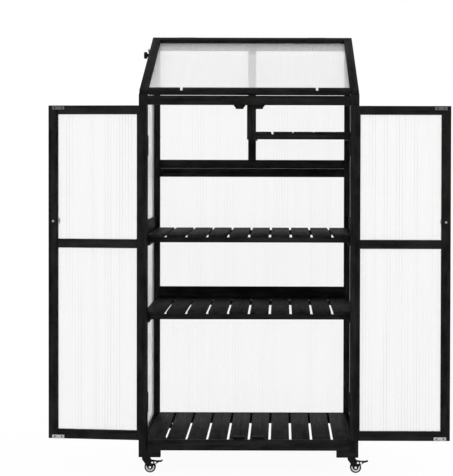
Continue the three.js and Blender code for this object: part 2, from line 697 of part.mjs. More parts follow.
add("catch_top_left", topCatch(-1), blackPlastic);
add("catch_top_right", topCatch(1), blackPlastic);
add("catch_bottom_left", bottomCatch(-1), blackPlastic);
add("catch_bottom_right", bottomCatch(1), blackPlastic);

// Butt hinges, made with the pin along Z and the leaves on either side of X = 0, reaching to +Y.
const thirds = [0, 1, 2, 3].map((i) => (i * HINGE_LENGTH) / 3 - HINGE_LENGTH / 2);

function leaf(side, leafDepth, faceGap) {
  const outer = side * (faceGap - SEAT_GAP);
  const inner = outer - side * HINGE_LEAF;
  const start = HINGE_BARREL_RADIUS + KNUCKLE_GAP;
  return { x: [inner, outer], y: [start, start + leafDepth] };
}

function fixedHinge(side, leafDepth, faceGap) {
  const { x, y } = leaf(side, leafDepth, faceGap);
  const ends = [[thirds[0], thirds[1] - KNUCKLE_GAP], [thirds[2] + KNUCKLE_GAP, thirds[3]]];
  const parts = [block(x, y, [thirds[0], thirds[3]]), solidOf(rod(HINGE_PIN_RADIUS, thirds[0], thirds[3]))];
  for (const z of ends) {
    parts.push(solidOf(rod(HINGE_BARREL_RADIUS, ...z)));
    parts.push(block(x, [0, y[0] + KNUCKLE_GAP], z));
  }
  return join(parts);
}

function movingHinge(side, leafDepth, faceGap) {
  const { x, y } = leaf(side, leafDepth, faceGap);
  const z = [thirds[1], thirds[2]];
  const barrel = tube(HINGE_BARREL_RADIUS, HINGE_BORE_RADIUS, ...z);
  const arm = block(x, [0, y[0] + KNUCKLE_GAP], z);
  const bore = solidOf(rod(HINGE_BORE_RADIUS, thirds[0], thirds[3]));
  return join(block(x, y, [thirds[0], thirds[3]]), solidOf(barrel), cut(arm, bore));
}

function placed(solid, x, y, z) {
  return geometryOf(solid).translate(x, y, z);
}

const doorFaceGap = DOOR_HINGE_GAP / 2;
const hingeHeights = { upper: UPPER_HINGE_HEIGHT, lower: LOWER_HINGE_HEIGHT };

for (const [height, z] of Object.entries(hingeHeights)) {
  for (const [name, side] of [["left", -1], ["right", 1]]) {
    const solid = fixedHinge(side, HINGE_LEAF_DEPTH, doorFaceGap);
    add(`post_hinge_${height}_${name}`, placed(solid, side * PIN_X, -DOOR_PIN_PROUD, z), blackSteel);
  }
}

// Doors, made closed with the hinge pin at the origin of their group, then turned open.
function doorPiece(side, name, openAngle) {
  const door = new THREE.Group();
  door.position.set(side * PIN_X, -DOOR_PIN_PROUD, 0);
  door.rotation.z = side * openAngle;
  assembly.add(door);
  const inward = -side;
  const hingeEdge = DOOR_HINGE_GAP / 2;
  const across = (from, to) => [inward * (hingeEdge + from), inward * (hingeEdge + to)];
  const y = [DOOR_PIN_PROUD, DOOR_PIN_PROUD + DOOR_THICK];
  const sheetY = [DOOR_PIN_PROUD + (DOOR_THICK - SHEET) / 2, DOOR_PIN_PROUD + (DOOR_THICK + SHEET) / 2];
  const windows = {
    upper: [DOOR_MIDDLE_TOP, DOOR_TOP - DOOR_RAIL],
    lower: [DOOR_BOTTOM + DOOR_BOTTOM_RAIL, DOOR_MIDDLE_BOTTOM],
  };
  const sheet = (z, growth) => {
    const x = across(DOOR_STILE - GROOVE_DEPTH, DOOR_WIDTH - DOOR_STILE + GROOVE_DEPTH);
    return block(grow(x, growth), grow(sheetY, growth), grow(z, GROOVE_DEPTH + growth));
  };
  const rail = (z) => {
    const x = across(DOOR_STILE + GLUE_LINE, DOOR_WIDTH - DOOR_STILE - GLUE_LINE);
    const core = block(grow(x, TENON), grow(y, -TENON_INSET), grow(z, -TENON_INSET));
    return [batten(x, y, z), core];
  };
  const strike = (low) => {
    const x = across(DOOR_WIDTH - STRIKE_FROM_EDGE - STRIKE_WIDTH, DOOR_WIDTH - STRIKE_FROM_EDGE);
    return block(x, [y[1] - STRIKE_RECESS, y[1] + OVERRUN], [low, low + STRIKE_HEIGHT]);
  };
  const frame = join(
    batten(across(0, DOOR_STILE), y, [DOOR_BOTTOM, DOOR_TOP]),
    batten(across(DOOR_WIDTH - DOOR_STILE, DOOR_WIDTH), y, [DOOR_BOTTOM, DOOR_TOP]),
    rail([DOOR_TOP - DOOR_RAIL, DOOR_TOP]),
    rail([DOOR_MIDDLE_BOTTOM, DOOR_MIDDLE_TOP]),
    rail([DOOR_BOTTOM, DOOR_BOTTOM + DOOR_BOTTOM_RAIL]),
  );
  const cuts = [
    sheet(windows.upper, GROOVE_CLEARANCE),
    sheet(windows.lower, GROOVE_CLEARANCE),
    strike(DOOR_TOP - STRIKE_FROM_TOP - STRIKE_HEIGHT),
    strike(DOOR_BOTTOM + STRIKE_FROM_BOTTOM),
  ];
  add(`door_frame_${name}`, cut(frame, cuts), blackWood, door);
  add(`door_sheet_upper_${name}`, sheet(windows.upper, 0), sheetPlastic, door);
  add(`door_sheet_lower_${name}`, sheet(windows.lower, 0), sheetPlastic, door);
  const knobX = inward * (hingeEdge + DOOR_WIDTH - DOOR_STILE / 2);
  const knob = doorKnob().translate(knobX, DOOR_PIN_PROUD - SEAT_GAP, KNOB_HEIGHT);
  add(`door_knob_${name}`, knob, blackPlastic, door);
  for (const [height, z] of Object.entries(hingeHeights)) {
    const solid = movingHinge(inward, DOOR_THICK - HINGE_BARREL_RADIUS, doorFaceGap);
    add(`door_hinge_${height}_${name}`, placed(solid, 0, 0, z), blackSteel, door);
  }
}

// A turned knob whose foot is at the origin and whose head points to -Y.
function doorKnob() {
  const waist = KNOB_LENGTH / 3;
  const rim = (KNOB_LENGTH + waist) / 2;
  const profile = [
    [0, 0],
    [KNOB_FOOT_RADIUS, 0],
    [KNOB_NECK_RADIUS, waist],
    [KNOB_RADIUS, rim],
    [KNOB_RADIUS, KNOB_LENGTH - waist / 2],
    [KNOB_FOOT_RADIUS, KNOB_LENGTH],
    [0, KNOB_LENGTH],
  ];
  return turned(profile, SMALL_SIDES).rotateX(Math.PI / 2);
}

doorPiece(-1, "left", LEFT_DOOR_OPEN);
doorPiece(1, "right", RIGHT_DOOR_OPEN);

// Lid, made flat in a group that is turned to the slope. There Y runs up the slope and Z is its
// thickness, from the rest plane upwards.
const lid = new THREE.Group();
lid.position.z = POST_FRONT_TOP;
lid.rotation.x = LID_SLOPE;
assembly.add(lid);

function onLid(depth, height) {
  const rise = height - POST_FRONT_TOP;
  return {
    y: depth * Math.cos(LID_SLOPE) + rise * Math.sin(LID_SLOPE),
    z: rise * Math.cos(LID_SLOPE) - depth * Math.sin(LID_SLOPE),
  };
}

const lidEnds = [LID_FRONT / Math.cos(LID_SLOPE), LID_BACK / Math.cos(LID_SLOPE)];
const lidPin = onLid(LID_PIN_Y, LID_PIN_Z);
const lidZ = [SEAT_GAP, SEAT_GAP + LID_THICK];
const boltOnLid = onLid(stayBolt.y, stayBolt.z);
const stayRadius = Math.hypot(boltOnLid.y - lidPin.y, boltOnLid.z - lidPin.z);
const pivotZ = (lidZ[0] + lidZ[1]) / 2;
const stayPivot = {
  y: lidPin.y - Math.sqrt(stayRadius ** 2 - (pivotZ - lidPin.z) ** 2),
  z: pivotZ,
};

function lidFrame() {
  const outer = LID_WIDTH / 2;
  const inner = outer - LID_BATTEN;
  const parts = [];
  for (const side of [-1, 1]) {
    parts.push(batten(span(side, inner, outer), lidEnds, lidZ));
  }
  const railX = [-inner + GLUE_LINE, inner - GLUE_LINE];
  const [front, back] = lidEnds;
  for (const y of [[front, front + LID_BATTEN], [back - LID_BATTEN, back]]) {
    parts.push(batten(railX, y, lidZ));
    parts.push(block(grow(railX, TENON), grow(y, -TENON_INSET), grow(lidZ, -TENON_INSET)));
  }
  const lip = [front, front + LID_SHEET_MARGIN - SEAT_GAP];
  parts.push(batten(railX, lip, [-SHEET, pivotZ]));
  const drains = [-1, 1].map((side) => {
    const middle = (side * DRAIN_SHARE * LID_WIDTH) / 2;
    const tool = new THREE.BoxGeometry(DRAIN_WIDTH, 2 * LID_BATTEN, LID_BATTEN);
    tool.translate(0, 0, LID_BATTEN / 2).rotateX(-LID_SLOPE);
    return solidOf(tool.translate(middle, front + LID_BATTEN, lidZ[0] + EASE));
  });
  const screwRadius = STAY_BOLT_RADIUS + BORE_CLEARANCE;
  const screwHole = rod(screwRadius, outer - BOLT_IN_WOOD - SEAT_GAP, outer + OVERRUN);
  const hole = solidOf(alongX(screwHole, -1).translate(0, stayPivot.y, stayPivot.z));
  return cut(join(parts), drains, hole);
}

function lidSheet() {
  const [front, back] = lidEnds;
  const x = [-LID_SHEET_WIDTH / 2, LID_SHEET_WIDTH / 2];
  return block(x, [front + LID_SHEET_MARGIN, back - LID_SHEET_MARGIN], [-SHEET, 0]);
}

add("lid_frame", lidFrame(), blackWood, lid);
add("lid_sheet", lidSheet(), sheetPlastic, lid);

// Lid hinges. Their pins run along X. The fixed leaf hangs down the back rail, the moving leaf stands
// on the end of the lid.
function lidFixedHinge() {
  const ends = [[thirds[0], thirds[1] - KNUCKLE_GAP], [thirds[2] + KNUCKLE_GAP, thirds[3]]];
  const leafY = [SEAT_GAP - LID_PIN_BEHIND, SEAT_GAP + HINGE_LEAF - LID_PIN_BEHIND];
  const leafTop = -HINGE_BARREL_RADIUS - KNUCKLE_GAP - LID_PIN_RISE;
  const whole = [thirds[0], thirds[3]];
  const parts = [block(whole, leafY, [leafTop - LID_LEAF_HEIGHT, leafTop])];
  parts.push(solidOf(alongX(rod(HINGE_PIN_RADIUS, ...whole), 1)));
  for (const x of ends) {
    parts.push(solidOf(alongX(rod(HINGE_BARREL_RADIUS, ...x), 1)));
    parts.push(block(x, leafY, [leafTop - EASE, 0]));
    parts.push(block(x, [leafY[0], 0], [-HINGE_PIN_RADIUS, 0]));
  }
  return join(parts);
}

function lidMovingHinge() {
  const endFace = lidEnds[1] + SEAT_GAP - lidPin.y;
  const whole = [thirds[0], thirds[3]];
  const middle = [thirds[1], thirds[2]];
  const upright = [HINGE_BARREL_RADIUS + KNUCKLE_GAP, LID_THICK - EASE];
  const leafY = [endFace, endFace + HINGE_LEAF];
  const bore = solidOf(alongX(rod(HINGE_BORE_RADIUS, ...whole), 1));
  const arm = block(middle, [endFace, 0], [0, HINGE_LEAF]);
  const riser = block(middle, leafY, [0, upright[1]]);
  const barrel = solidOf(alongX(tube(HINGE_BARREL_RADIUS, HINGE_BORE_RADIUS, ...middle), 1));
  return join(block(whole, leafY, upright), riser, barrel, cut(arm, bore));
}

for (const [name, side] of [["left", -1], ["right", 1]]) {
  const x = (side * LID_HINGE_SHARE * LID_WIDTH) / 2;
  add(`lid_hinge_fixed_${name}`, placed(lidFixedHinge(), x, LID_PIN_Y, LID_PIN_Z), blackSteel);
  add(`lid_hinge_moving_${name}`, placed(lidMovingHinge(), x, lidPin.y, lidPin.z), blackSteel, lid);
}

// Lid stay: a slotted bar outside the left side. Its pivot on the lid and the bolt on the cabinet lie
// at one distance from the lid's pin, so that the bar turns through half the lid's angle.
const stayStart = Math.hypot(boltOnLid.y - stayPivot.y, boltOnLid.z - stayPivot.z);
const stayAngle = Math.atan2(boltOnLid.z - stayPivot.z, boltOnLid.y - stayPivot.y);
const stayReach = 2 * stayRadius * Math.sin(Math.asin(stayStart / 2 / stayRadius) + LID_OPEN / 2);
const stayX = -(HALF_WIDTH + STAY_SIDE_GAP + STAY_THICK / 2);

function stayBar() {
  const slotFrom = stayStart - STAY_SLOT_LEAD;
  const slotTo = stayReach + STAY_SLOT_SPARE;
  const half = STAY_WIDTH / 2;
  const shape = new THREE.Shape();
  shape.absarc(0, 0, half, Math.PI / 2, (3 * Math.PI) / 2, false);
  shape.absarc(slotTo + STAY_END - half, 0, half, -Math.PI / 2, Math.PI / 2, false);
  const pivotHole = new THREE.Path();
  pivotHole.absarc(0, 0, STAY_BOLT_RADIUS + BORE_CLEARANCE, 0, 2 * Math.PI, true);
  const slot = new THREE.Path();
  slot.absarc(slotFrom, 0, STAY_SLOT_HALF, -Math.PI / 2, Math.PI / 2, true);
  slot.absarc(slotTo, 0, STAY_SLOT_HALF, Math.PI / 2, -Math.PI / 2, true);
  shape.holes.push(pivotHole, slot);
  const settings = { depth: STAY_THICK, bevelEnabled: false, curveSegments: ARC_SIDES };
  const bar = new THREE.ExtrudeGeometry(shape, settings).translate(0, 0, -STAY_THICK / 2);
  return bar.rotateZ(stayAngle).rotateY(Math.PI / 2).rotateX(Math.PI / 2);
}

function lidStayPivot() {
  const wood = LID_WIDTH / 2;
  const outside = HALF_WIDTH + STAY_SIDE_GAP + STAY_THICK + SEAT_GAP;
  const profile = [
    [0, wood - BOLT_IN_WOOD],
    [STAY_BOLT_RADIUS, wood - BOLT_IN_WOOD],
    [STAY_BOLT_RADIUS, outside],
    [STAY_SCREW_HEAD, outside],
    [STAY_SCREW_HEAD, outside + STAY_THICK],
    [0, outside + STAY_THICK],
  ];
  return alongX(turned(profile, SMALL_SIDES), -1);
}

function stayKnob() {
  const outside = HALF_WIDTH + STAY_SIDE_GAP + STAY_THICK + SEAT_GAP;
  const head = outside + STAY_KNOB_NECK;
  const soft = STAY_KNOB_HEAD / 4;
  const profile = [
    [0, HALF_WIDTH - BOLT_IN_WOOD],
    [STAY_BOLT_RADIUS, HALF_WIDTH - BOLT_IN_WOOD],
    [STAY_BOLT_RADIUS, outside],
    [STAY_KNOB_NECK_RADIUS, outside],
    [STAY_KNOB_NECK_RADIUS, head],
    [STAY_KNOB_RADIUS - soft, head],
    [STAY_KNOB_RADIUS, head + soft],
    [STAY_KNOB_RADIUS, head + STAY_KNOB_HEAD - soft],
    [STAY_KNOB_RADIUS - soft, head + STAY_KNOB_HEAD],
    [0, head + STAY_KNOB_HEAD],
  ];
  return alongX(turned(profile, ROUND_SIDES), -1);
}

add("lid_stay", stayBar().translate(stayX, stayPivot.y, stayPivot.z), blackSteel, lid);
add("lid_stay_pivot", lidStayPivot().translate(0, stayPivot.y, stayPivot.z), steel, lid);
add("stay_knob", stayKnob().translate(0, stayBolt.y, stayBolt.z), blackPlastic);

// Casters, made around their swivel axis with the wheel trailing to +X.
function alongY(geometry) {
  return geometry.rotateX(Math.PI / 2);
}

const legInner = HUB_WIDTH / 2 + FORK_CLEARANCE;
const legMiddle = legInner + FORK_PLATE / 2;
const legTop = CASTER_HEIGHT - SEAT_GAP - RACE_HEIGHT;

function forkLeg(braked) {
  const outline = (shape) => {
    const halfTop = RACE_RADIUS - EASE;
    const low = legTop - FORK_YOKE - EASE;
    shape.moveTo(-halfTop, legTop);
    shape.lineTo(-halfTop, low);
    shape.absarc(CASTER_TRAIL, WHEEL_RADIUS, FORK_AXLE_BOSS, (-5 * Math.PI) / 6, 0, false);
    if (braked) {
      shape.absarc(PEDAL_PIVOT_X, PEDAL_PIVOT_Z, PEDAL_LUG, -Math.PI / 2, Math.PI / 3, false);
    }
    shape.lineTo(halfTop, legTop);
  };
  return plate(outline, FORK_PLATE);
}

function fork(braked) {
  const reach = legInner + FORK_PLATE;
  const stemTop = CASTER_HEIGHT + STEM_LENGTH;
  const race = turned(
    [
      [0, legTop],
      [RACE_RADIUS, legTop],
      [RACE_RADIUS, legTop + RACE_HEIGHT],
      [STEM_RADIUS, legTop + RACE_HEIGHT],
      [STEM_RADIUS, stemTop],
      [0, stemTop],
    ],
    ROUND_SIDES,
  );
  const halfTop = RACE_RADIUS - EASE;
  const yoke = block([-halfTop, halfTop], [-reach, reach], [legTop - FORK_YOKE, legTop + EASE]);
  const axle = rod(AXLE_RADIUS, -reach, reach);
  const heads = [-1, 1].map((end) => {
    const head = rod(AXLE_HEAD_RADIUS, end * reach - AXLE_HEAD, end * reach + AXLE_HEAD);
    return solidOf(alongY(head).translate(CASTER_TRAIL, 0, WHEEL_RADIUS));
  });
  const wheelRoom = block([0, 2 * CASTER_TRAIL], [-legInner, legInner], [0, legTop]);
  const trimmedHeads = heads.map((head) => cut(head, wheelRoom));
  const legs = [-1, 1].map((end) => solidOf(forkLeg(braked).translate(0, end * legMiddle, 0)));
  const parts = [
    solidOf(race),
    yoke,
    legs,
    solidOf(alongY(axle).translate(CASTER_TRAIL, 0, WHEEL_RADIUS)),
    trimmedHeads,
  ];
  if (braked) {
    const pin = alongY(rod(PEDAL_PIN_RADIUS, -reach - EASE, reach + EASE));
    parts.push(solidOf(pin.translate(PEDAL_PIVOT_X, 0, PEDAL_PIVOT_Z)));
  }
  return join(...parts.flat());
}

function wheel() {
  const half = WHEEL_WIDTH / 2;
  const hub = HUB_WIDTH / 2;
  const bore = AXLE_RADIUS + BORE_CLEARANCE;
  const soft = WHEEL_WIDTH / 6;
  const profile = [
    [bore, -hub],
    [HUB_RADIUS, -hub],
    [HUB_RADIUS, RIM_RECESS - half],
    [RIM_RADIUS, RIM_RECESS - half],
    [RIM_RADIUS, -half],
    [WHEEL_RADIUS - soft, -half],
    [WHEEL_RADIUS, soft - half],
    [WHEEL_RADIUS, half - soft],
    [WHEEL_RADIUS - soft, half],
    [RIM_RADIUS, half],
    [RIM_RADIUS, half - RIM_RECESS],
    [HUB_RADIUS, half - RIM_RECESS],
    [HUB_RADIUS, hub],
    [bore, hub],
    [bore, -hub],
  ];
  return alongY(turned(profile, ROUND_SIDES)).translate(CASTER_TRAIL, 0, WHEEL_RADIUS);
}

// The brake pedal: a tread plate with an upturned tip, a web round its pivot and a nose that comes to
// bear on the wheel when the tip is pressed down.
function brakePedal() {
  const px = PEDAL_PIVOT_X;
  const pz = PEDAL_PIVOT_Z;
  const tread = pz + PEDAL_LUG;
  const under = tread - PEDAL_THICK;
  const tip = px + PEDAL_REACH;
  const outline = (shape) => {
    shape.moveTo(px - PEDAL_LUG, tread);
    shape.lineTo(px - PEDAL_LUG, pz);
    shape.lineTo(px - PEDAL_THICK / 2, pz - PEDAL_LUG);
    shape.lineTo(px, pz - PEDAL_NOSE);
    shape.lineTo(px + PEDAL_THICK, pz - PEDAL_NOSE);
    shape.lineTo(px + 2 * PEDAL_LUG, under);
    shape.lineTo(tip - 2 * PEDAL_THICK, under);
    shape.lineTo(tip, tread);
    shape.lineTo(tip - PEDAL_THICK, tread + PEDAL_THICK);
    shape.lineTo(tip - 3 * PEDAL_THICK, tread);
  };
  return plate(outline, PEDAL_WIDTH, [[px, pz, PEDAL_PIN_RADIUS + BORE_CLEARANCE]]);
}

for (const [name, side, depth] of casterPlaces) {
  const caster = new THREE.Group();
  caster.position.set(side * CASTER_X, depth, 0);
  assembly.add(caster);
  const braked = depth === CASTER_FRONT;
  add(`caster_fork_${name}`, fork(braked), blackSteel, caster);
  add(`caster_wheel_${name}`, wheel(), wheelPlastic, caster);
  if (braked) {
    add(`brake_pedal_${name}`, brakePedal(), blackPlastic, caster);
  }
}

const greenhouse = new THREE.Group();
greenhouse.add(assembly);

export default greenhouse;
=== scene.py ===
# %% [markdown]
# # A wooden mini greenhouse on casters
# This lesson dresses a finished CAD assembly for a picture. The CAD model says where every part is and
# how it moves. Here each batten, slat, sheet and fitting gets the soft edges and the finish that make
# it look like black stained wood, twin-wall plastic and black coated or zinc plated steel.

# %% Load the frame
import math
import random

import bmesh
import bpy
from mathutils import Matrix, Vector


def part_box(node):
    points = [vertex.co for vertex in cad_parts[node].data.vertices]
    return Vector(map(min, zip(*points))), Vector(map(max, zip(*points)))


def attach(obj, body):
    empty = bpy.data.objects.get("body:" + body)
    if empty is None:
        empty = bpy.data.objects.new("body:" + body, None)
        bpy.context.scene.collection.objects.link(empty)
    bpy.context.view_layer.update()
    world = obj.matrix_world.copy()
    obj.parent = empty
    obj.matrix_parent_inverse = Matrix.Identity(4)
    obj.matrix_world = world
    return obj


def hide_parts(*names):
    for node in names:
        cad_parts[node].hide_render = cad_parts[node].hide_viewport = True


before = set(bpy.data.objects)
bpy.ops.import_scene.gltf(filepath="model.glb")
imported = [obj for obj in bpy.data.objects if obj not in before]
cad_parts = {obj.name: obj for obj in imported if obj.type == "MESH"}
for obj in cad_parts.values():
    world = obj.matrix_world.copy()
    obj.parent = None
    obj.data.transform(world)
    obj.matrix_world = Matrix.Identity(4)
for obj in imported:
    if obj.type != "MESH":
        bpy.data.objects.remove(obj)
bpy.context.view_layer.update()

# %% [markdown]
# ## Places
# The real cabinet is cut from battens with round sizes, so millimetres are the natural unit. The CAD
# nodes say where the cabinet stands. A place is given as x from the middle, depth behind the front of
# the posts and height above the floor.

# %% Places on the cabinet
MM = 0.001
HALF = 386  # half of the cabinet's width
POST = 30
INNER = HALF - POST
DEPTH = 570
SLOPE = math.radians(21.9)
REST_HEIGHT = 1334  # where the lid rests at the front of the posts
FRONT_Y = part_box("front_top_rail")[0].y
SIDES = (("left", -1), ("right", 1))


def between(x, depth, z):
    """The low and high corners of a block, from its limits in millimetres."""
    low = Vector((min(x) * MM, FRONT_Y + min(depth) * MM, min(z) * MM))
    high = Vector((max(x) * MM, FRONT_Y + max(depth) * MM, max(z) * MM))
    return low, high


def here(x, y, z):
    """The same for a block in a turned frame of its own, such as the lid's."""
    pairs = (x, y, z)
    return Vector([min(p) * MM for p in pairs]), Vector([max(p) * MM for p in pairs])


def spot(x, depth, z):
    return Vector((x * MM, FRONT_Y + depth * MM, z * MM))


def across(side, near, far):
    return (side * near, side * far)


lid_place = Matrix.Translation(spot(0, 0, REST_HEIGHT)) @ Matrix.Rotation(SLOPE, 4, "X")
print("front of the posts at y =", round(FRONT_Y, 4))

# %% [markdown]
# ## Shapes
# Sawn and planed battens are boxes with eased edges. A box comes from a cube operator that is scaled
# and moved, and a bevel takes off its edges. Round fittings are turned: a half profile is spun once
# round. Flat fittings are punched: an outline is filled and extruded.

# %% Boxes and eased edges
EASE = 1.3 * MM
MERGE = 0.004 * MM  # closes the seam and the poles of a turned shape


def solid(low, high):
    bm = bmesh.new()
    bmesh.ops.create_cube(bm, size=1.0)
    bmesh.ops.scale(bm, vec=high - low, verts=bm.verts)
    bmesh.ops.translate(bm, vec=(low + high) / 2, verts=bm.verts)
    return bm


def soften(bm, width, segments=2):
    bmesh.ops.bevel(
        bm, geom=bm.edges[:], offset=width, affect="EDGES", segments=segments, profile=0.5,
        material=-1, clamp_overlap=True,
    )
    return bm


def slice_off(bm, point, normal):
    """Cuts away what lies on the normal's side of a plane and closes the cut."""
    everything = bm.verts[:] + bm.edges[:] + bm.faces[:]
    bmesh.ops.bisect_plane(bm, geom=everything, plane_co=point, plane_no=normal, clear_outer=True)
    bmesh.ops.holes_fill(bm, edges=[e for e in bm.edges if e.is_boundary])


# %% Plates and turned shapes
def slab(outline, depth):
    """Fills an outline of points and extrudes it by a vector."""
    bm = bmesh.new()
    face = bm.faces.new([bm.verts.new(p) for p in outline])
    extruded = bmesh.ops.extrude_face_region(bm, geom=[face])["geom"]
    moved = [v for v in extruded if isinstance(v, bmesh.types.BMVert)]
    bmesh.ops.translate(bm, vec=depth, verts=moved)
    bmesh.ops.recalc_face_normals(bm, faces=bm.faces)
    return bm


def turned(profile, place=Matrix(), steps=32, ring=False):
    """Spins a profile of radius and height, in millimetres, about Z."""
    bm = bmesh.new()
    verts = [bm.verts.new((r * MM, 0, h * MM)) for r, h in profile]
    pairs = list(zip(verts, verts[1:]))
    if ring:
        pairs.append((verts[-1], verts[0]))
    edges = [bm.edges.new(pair) for pair in pairs]
    bmesh.ops.spin(
        bm, geom=verts + edges, cent=(0, 0, 0), axis=(0, 0, 1), dvec=(0, 0, 0), angle=math.tau,
        steps=steps, use_merge=True,
    )
    bmesh.ops.remove_doubles(bm, verts=bm.verts, dist=MERGE)
    bmesh.ops.recalc_face_normals(bm, faces=bm.faces)
    bm.transform(place)
    return bm


def facing(direction, point):
    """A place whose Z axis points along a direction."""
    turn = Vector(direction).to_track_quat("Z", "Y").to_matrix().to_4x4()
    return Matrix.Translation(point) @ turn


# %% [markdown]
# ## Grain
# Wood grain runs along each batten, whichever way the batten lies. One material serves them all when
# every batten carries its own grain coordinates as a mesh attribute: length first, then width and
# thickness, shifted by a random amount so that no two battens show the same figure.

# %% Battens with grain coordinates
dice = random.Random(11)
GRAIN_SHIFT = 40  # metres of the endless figure that the shifts are drawn from
AXES = {"X": (0, 1, 2), "Y": (1, 0, 2), "Z": (2, 0, 1)}


def mark_grain(bm, along):
    layer = bm.verts.layers.float_vector.new("grain")
    shift = Vector([dice.uniform(0, GRAIN_SHIFT) for _ in range(3)])
    order = AXES[along]
    for v in bm.verts:
        v[layer] = Vector([v.co[i] for i in order]) + shift


def batten(corners, along, place=Matrix(), cuts=(), ease=EASE):
    bm = solid(*corners)
    for point, normal in cuts:
        slice_off(bm, point, normal)
    soften(bm, ease)
    mark_grain(bm, along)
    bm.transform(place)
    return bm


# %% [markdown]
# ## Pieces
# A piece is one object with one finish. It rides on a body of the frame, so that it moves with the
# joints, and the CAD nodes that it stands in for are hidden.

# %% Pieces from meshes
SHARP = math.radians(35)  # edges that turn more than this stay crisp


def gather(parts):
    """One mesh from several, which keep their grain."""
    whole = bmesh.new()
    for bm in parts:
        mesh = bpy.data.meshes.new("part")
        bm.to_mesh(mesh)
        bm.free()
        whole.from_mesh(mesh)
        bpy.data.meshes.remove(mesh)
    return whole


def piece(name, bm, finish, body, replaced=()):
    """Makes an object of a mesh, gives it a finish and lets it ride on a body of the frame."""
    bmesh.ops.triangulate(bm, faces=[f for f in bm.faces if len(f.verts) > 4])
    mesh = bpy.data.meshes.new(name)
    bm.to_mesh(mesh)
    bm.free()
    mesh.shade_smooth()
    mesh.set_sharp_from_angle(angle=SHARP)
    mesh.materials.append(finish)
    obj = bpy.data.objects.new(name, mesh)
    bpy.context.scene.collection.objects.link(obj)
    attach(obj, body)
    if replaced:
        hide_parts(*replaced)
    return obj


print("tools ready: solid, slab, turned, batten, gather, piece")

# %% [markdown]
# ## Shader maths
# Finishes are written as sums on sockets. The class below wraps a socket, so that a mask can be added,
# scaled or turned round like a number, and one method makes any other node.

# %% Sockets that can be used in sums
class Signal:
    def __init__(self, finish, socket):
        self.finish = finish
        self.socket = socket

    def maths(self, operation, first, second):
        return self.finish.node("Math", {"operation": operation}, {0: first, 1: second})

    def __add__(self, other):
        return self.maths("ADD", self, other)

    def __radd__(self, other):
        return self.maths("ADD", other, self)

    def __rsub__(self, other):
        return self.maths("SUBTRACT", other, self)

    def __mul__(self, other):
        return self.maths("MULTIPLY", self, other)

    def __rmul__(self, other):
        return self.maths("MULTIPLY", other, self)

    def __pow__(self, other):
        return self.maths("POWER", self, other)


# %% A finish and its nodes
class Finish:
    """A node material whose nodes come from one method."""

    def __init__(self, name, **constants):
        self.material = bpy.data.materials.new(name)
        self.material.use_nodes = True
        self.tree = self.material.node_tree
        self.tree.nodes.clear()
        self.output = self.tree.nodes.new("ShaderNodeOutputMaterial")
        self.shader = self.tree.nodes.new("ShaderNodeBsdfPrincipled")
        self.tree.links.new(self.shader.outputs[0], self.output.inputs["Surface"])
        for socket, value in constants.items():
            self.shader.inputs[socket.replace("_", " ")].default_value = value

    def node(self, kind, settings=None, sockets=None, out=0):
        new = self.tree.nodes.new("ShaderNode" + kind)
        for key, value in (settings or {}).items():
            setattr(new, key, value)
        for key, value in (sockets or {}).items():
            self.feed(new.inputs[key], value)
        return Signal(self, new.outputs[out])

    def feed(self, socket, value):
        if isinstance(value, Signal):
            self.tree.links.new(value.socket, socket)
        else:
            socket.default_value = value

    def set(self, **values):
        for key, value in values.items():
            self.feed(self.shader.inputs[key.replace("_", " ")], value)

    def place(self):
        """The point on the piece, in metres."""
        return self.node("TexCoord", {}, out="Object")

    def scaled(self, vector, factors):
        return self.node("VectorMath", {"operation": "MULTIPLY"}, {0: vector, 1: factors})

    def noise(self, vector, scale=1.0, detail=3.0, roughness=0.5):
        sockets = {"Vector": vector, "Scale": scale, "Detail": detail, "Roughness": roughness}
        return self.node("TexNoise", {}, sockets)

    def spread(self, value, low, high):
        """Stretches what lies between low and high to 0 and 1."""
        sockets = {"Value": value, "From Min": low, "From Max": high}
        return self.node("MapRange", {}, sockets)

    def blend(self, factor, first, second):
        """A colour between two."""
        return self.node("Mix", {"data_type": "RGBA"}, {0: factor, 6: first, 7: second}, out=2)

    def bump(self, height, distance, strength=1.0):
        sockets = {"Height": height, "Distance": distance, "Strength": strength}
        return self.node("Bump", {}, sockets)


def grey(tone, warm=0.0):
    return (tone * (1 + warm), tone, tone * (1 - warm), 1)


print("shader helpers ready")

# %% [markdown]
# ## Black stained wood
# The battens are softwood under a thin black stain. The stain hides the colour but not the grain: the
# latewood stands a little proud and shines more, and the pores stay darker. Noises that are drawn out
# along the grain make the fibres and the broad figure. A rounder one makes the patches where the stain
# soaked in unevenly, and a very slow one gives each batten a tone of its own.

# %% The stained wood
FIBRE = (6, 420, 420)  # noise features per metre, along and across the grain
FIGURE = (1.6, 60, 60)
PATCH = (14, 34, 34)
STAVE = (0.06, 0.06, 0.06)


def stained_wood():
    f = Finish("black_stained_wood", Specular_IOR_Level=0.01)
    grain = f.node("Attribute", {"attribute_name": "grain"}, out="Vector")
    fibre = f.noise(f.scaled(grain, FIBRE), detail=4.0, roughness=0.6)
    figure = f.noise(f.scaled(grain, FIGURE), detail=3.0)
    patch = f.noise(f.scaled(grain, PATCH), detail=2.0, roughness=0.6)
    stave = f.noise(f.scaled(grain, STAVE), detail=0.0)
    rings = f.spread(figure, 0.35, 0.65)
    lines = f.spread(fibre, 0.3, 0.7)
    soaked = f.spread(patch, 0.36, 0.64)
    tone = lines * 0.28 + rings * 0.27 + soaked * 0.3 + f.spread(stave, 0.35, 0.65) * 0.15
    relief = lines * 0.6 + rings * 0.4
    f.set(
        Base_Color=f.blend(tone, grey(0.0012), grey(0.0262, 0.03)),
        Roughness=0.62 - 0.16 * lines,
        Normal=f.bump(relief, 0.25 * MM, 0.5),
    )
    return f.material


wood = stained_wood()
print("finish", wood.name)

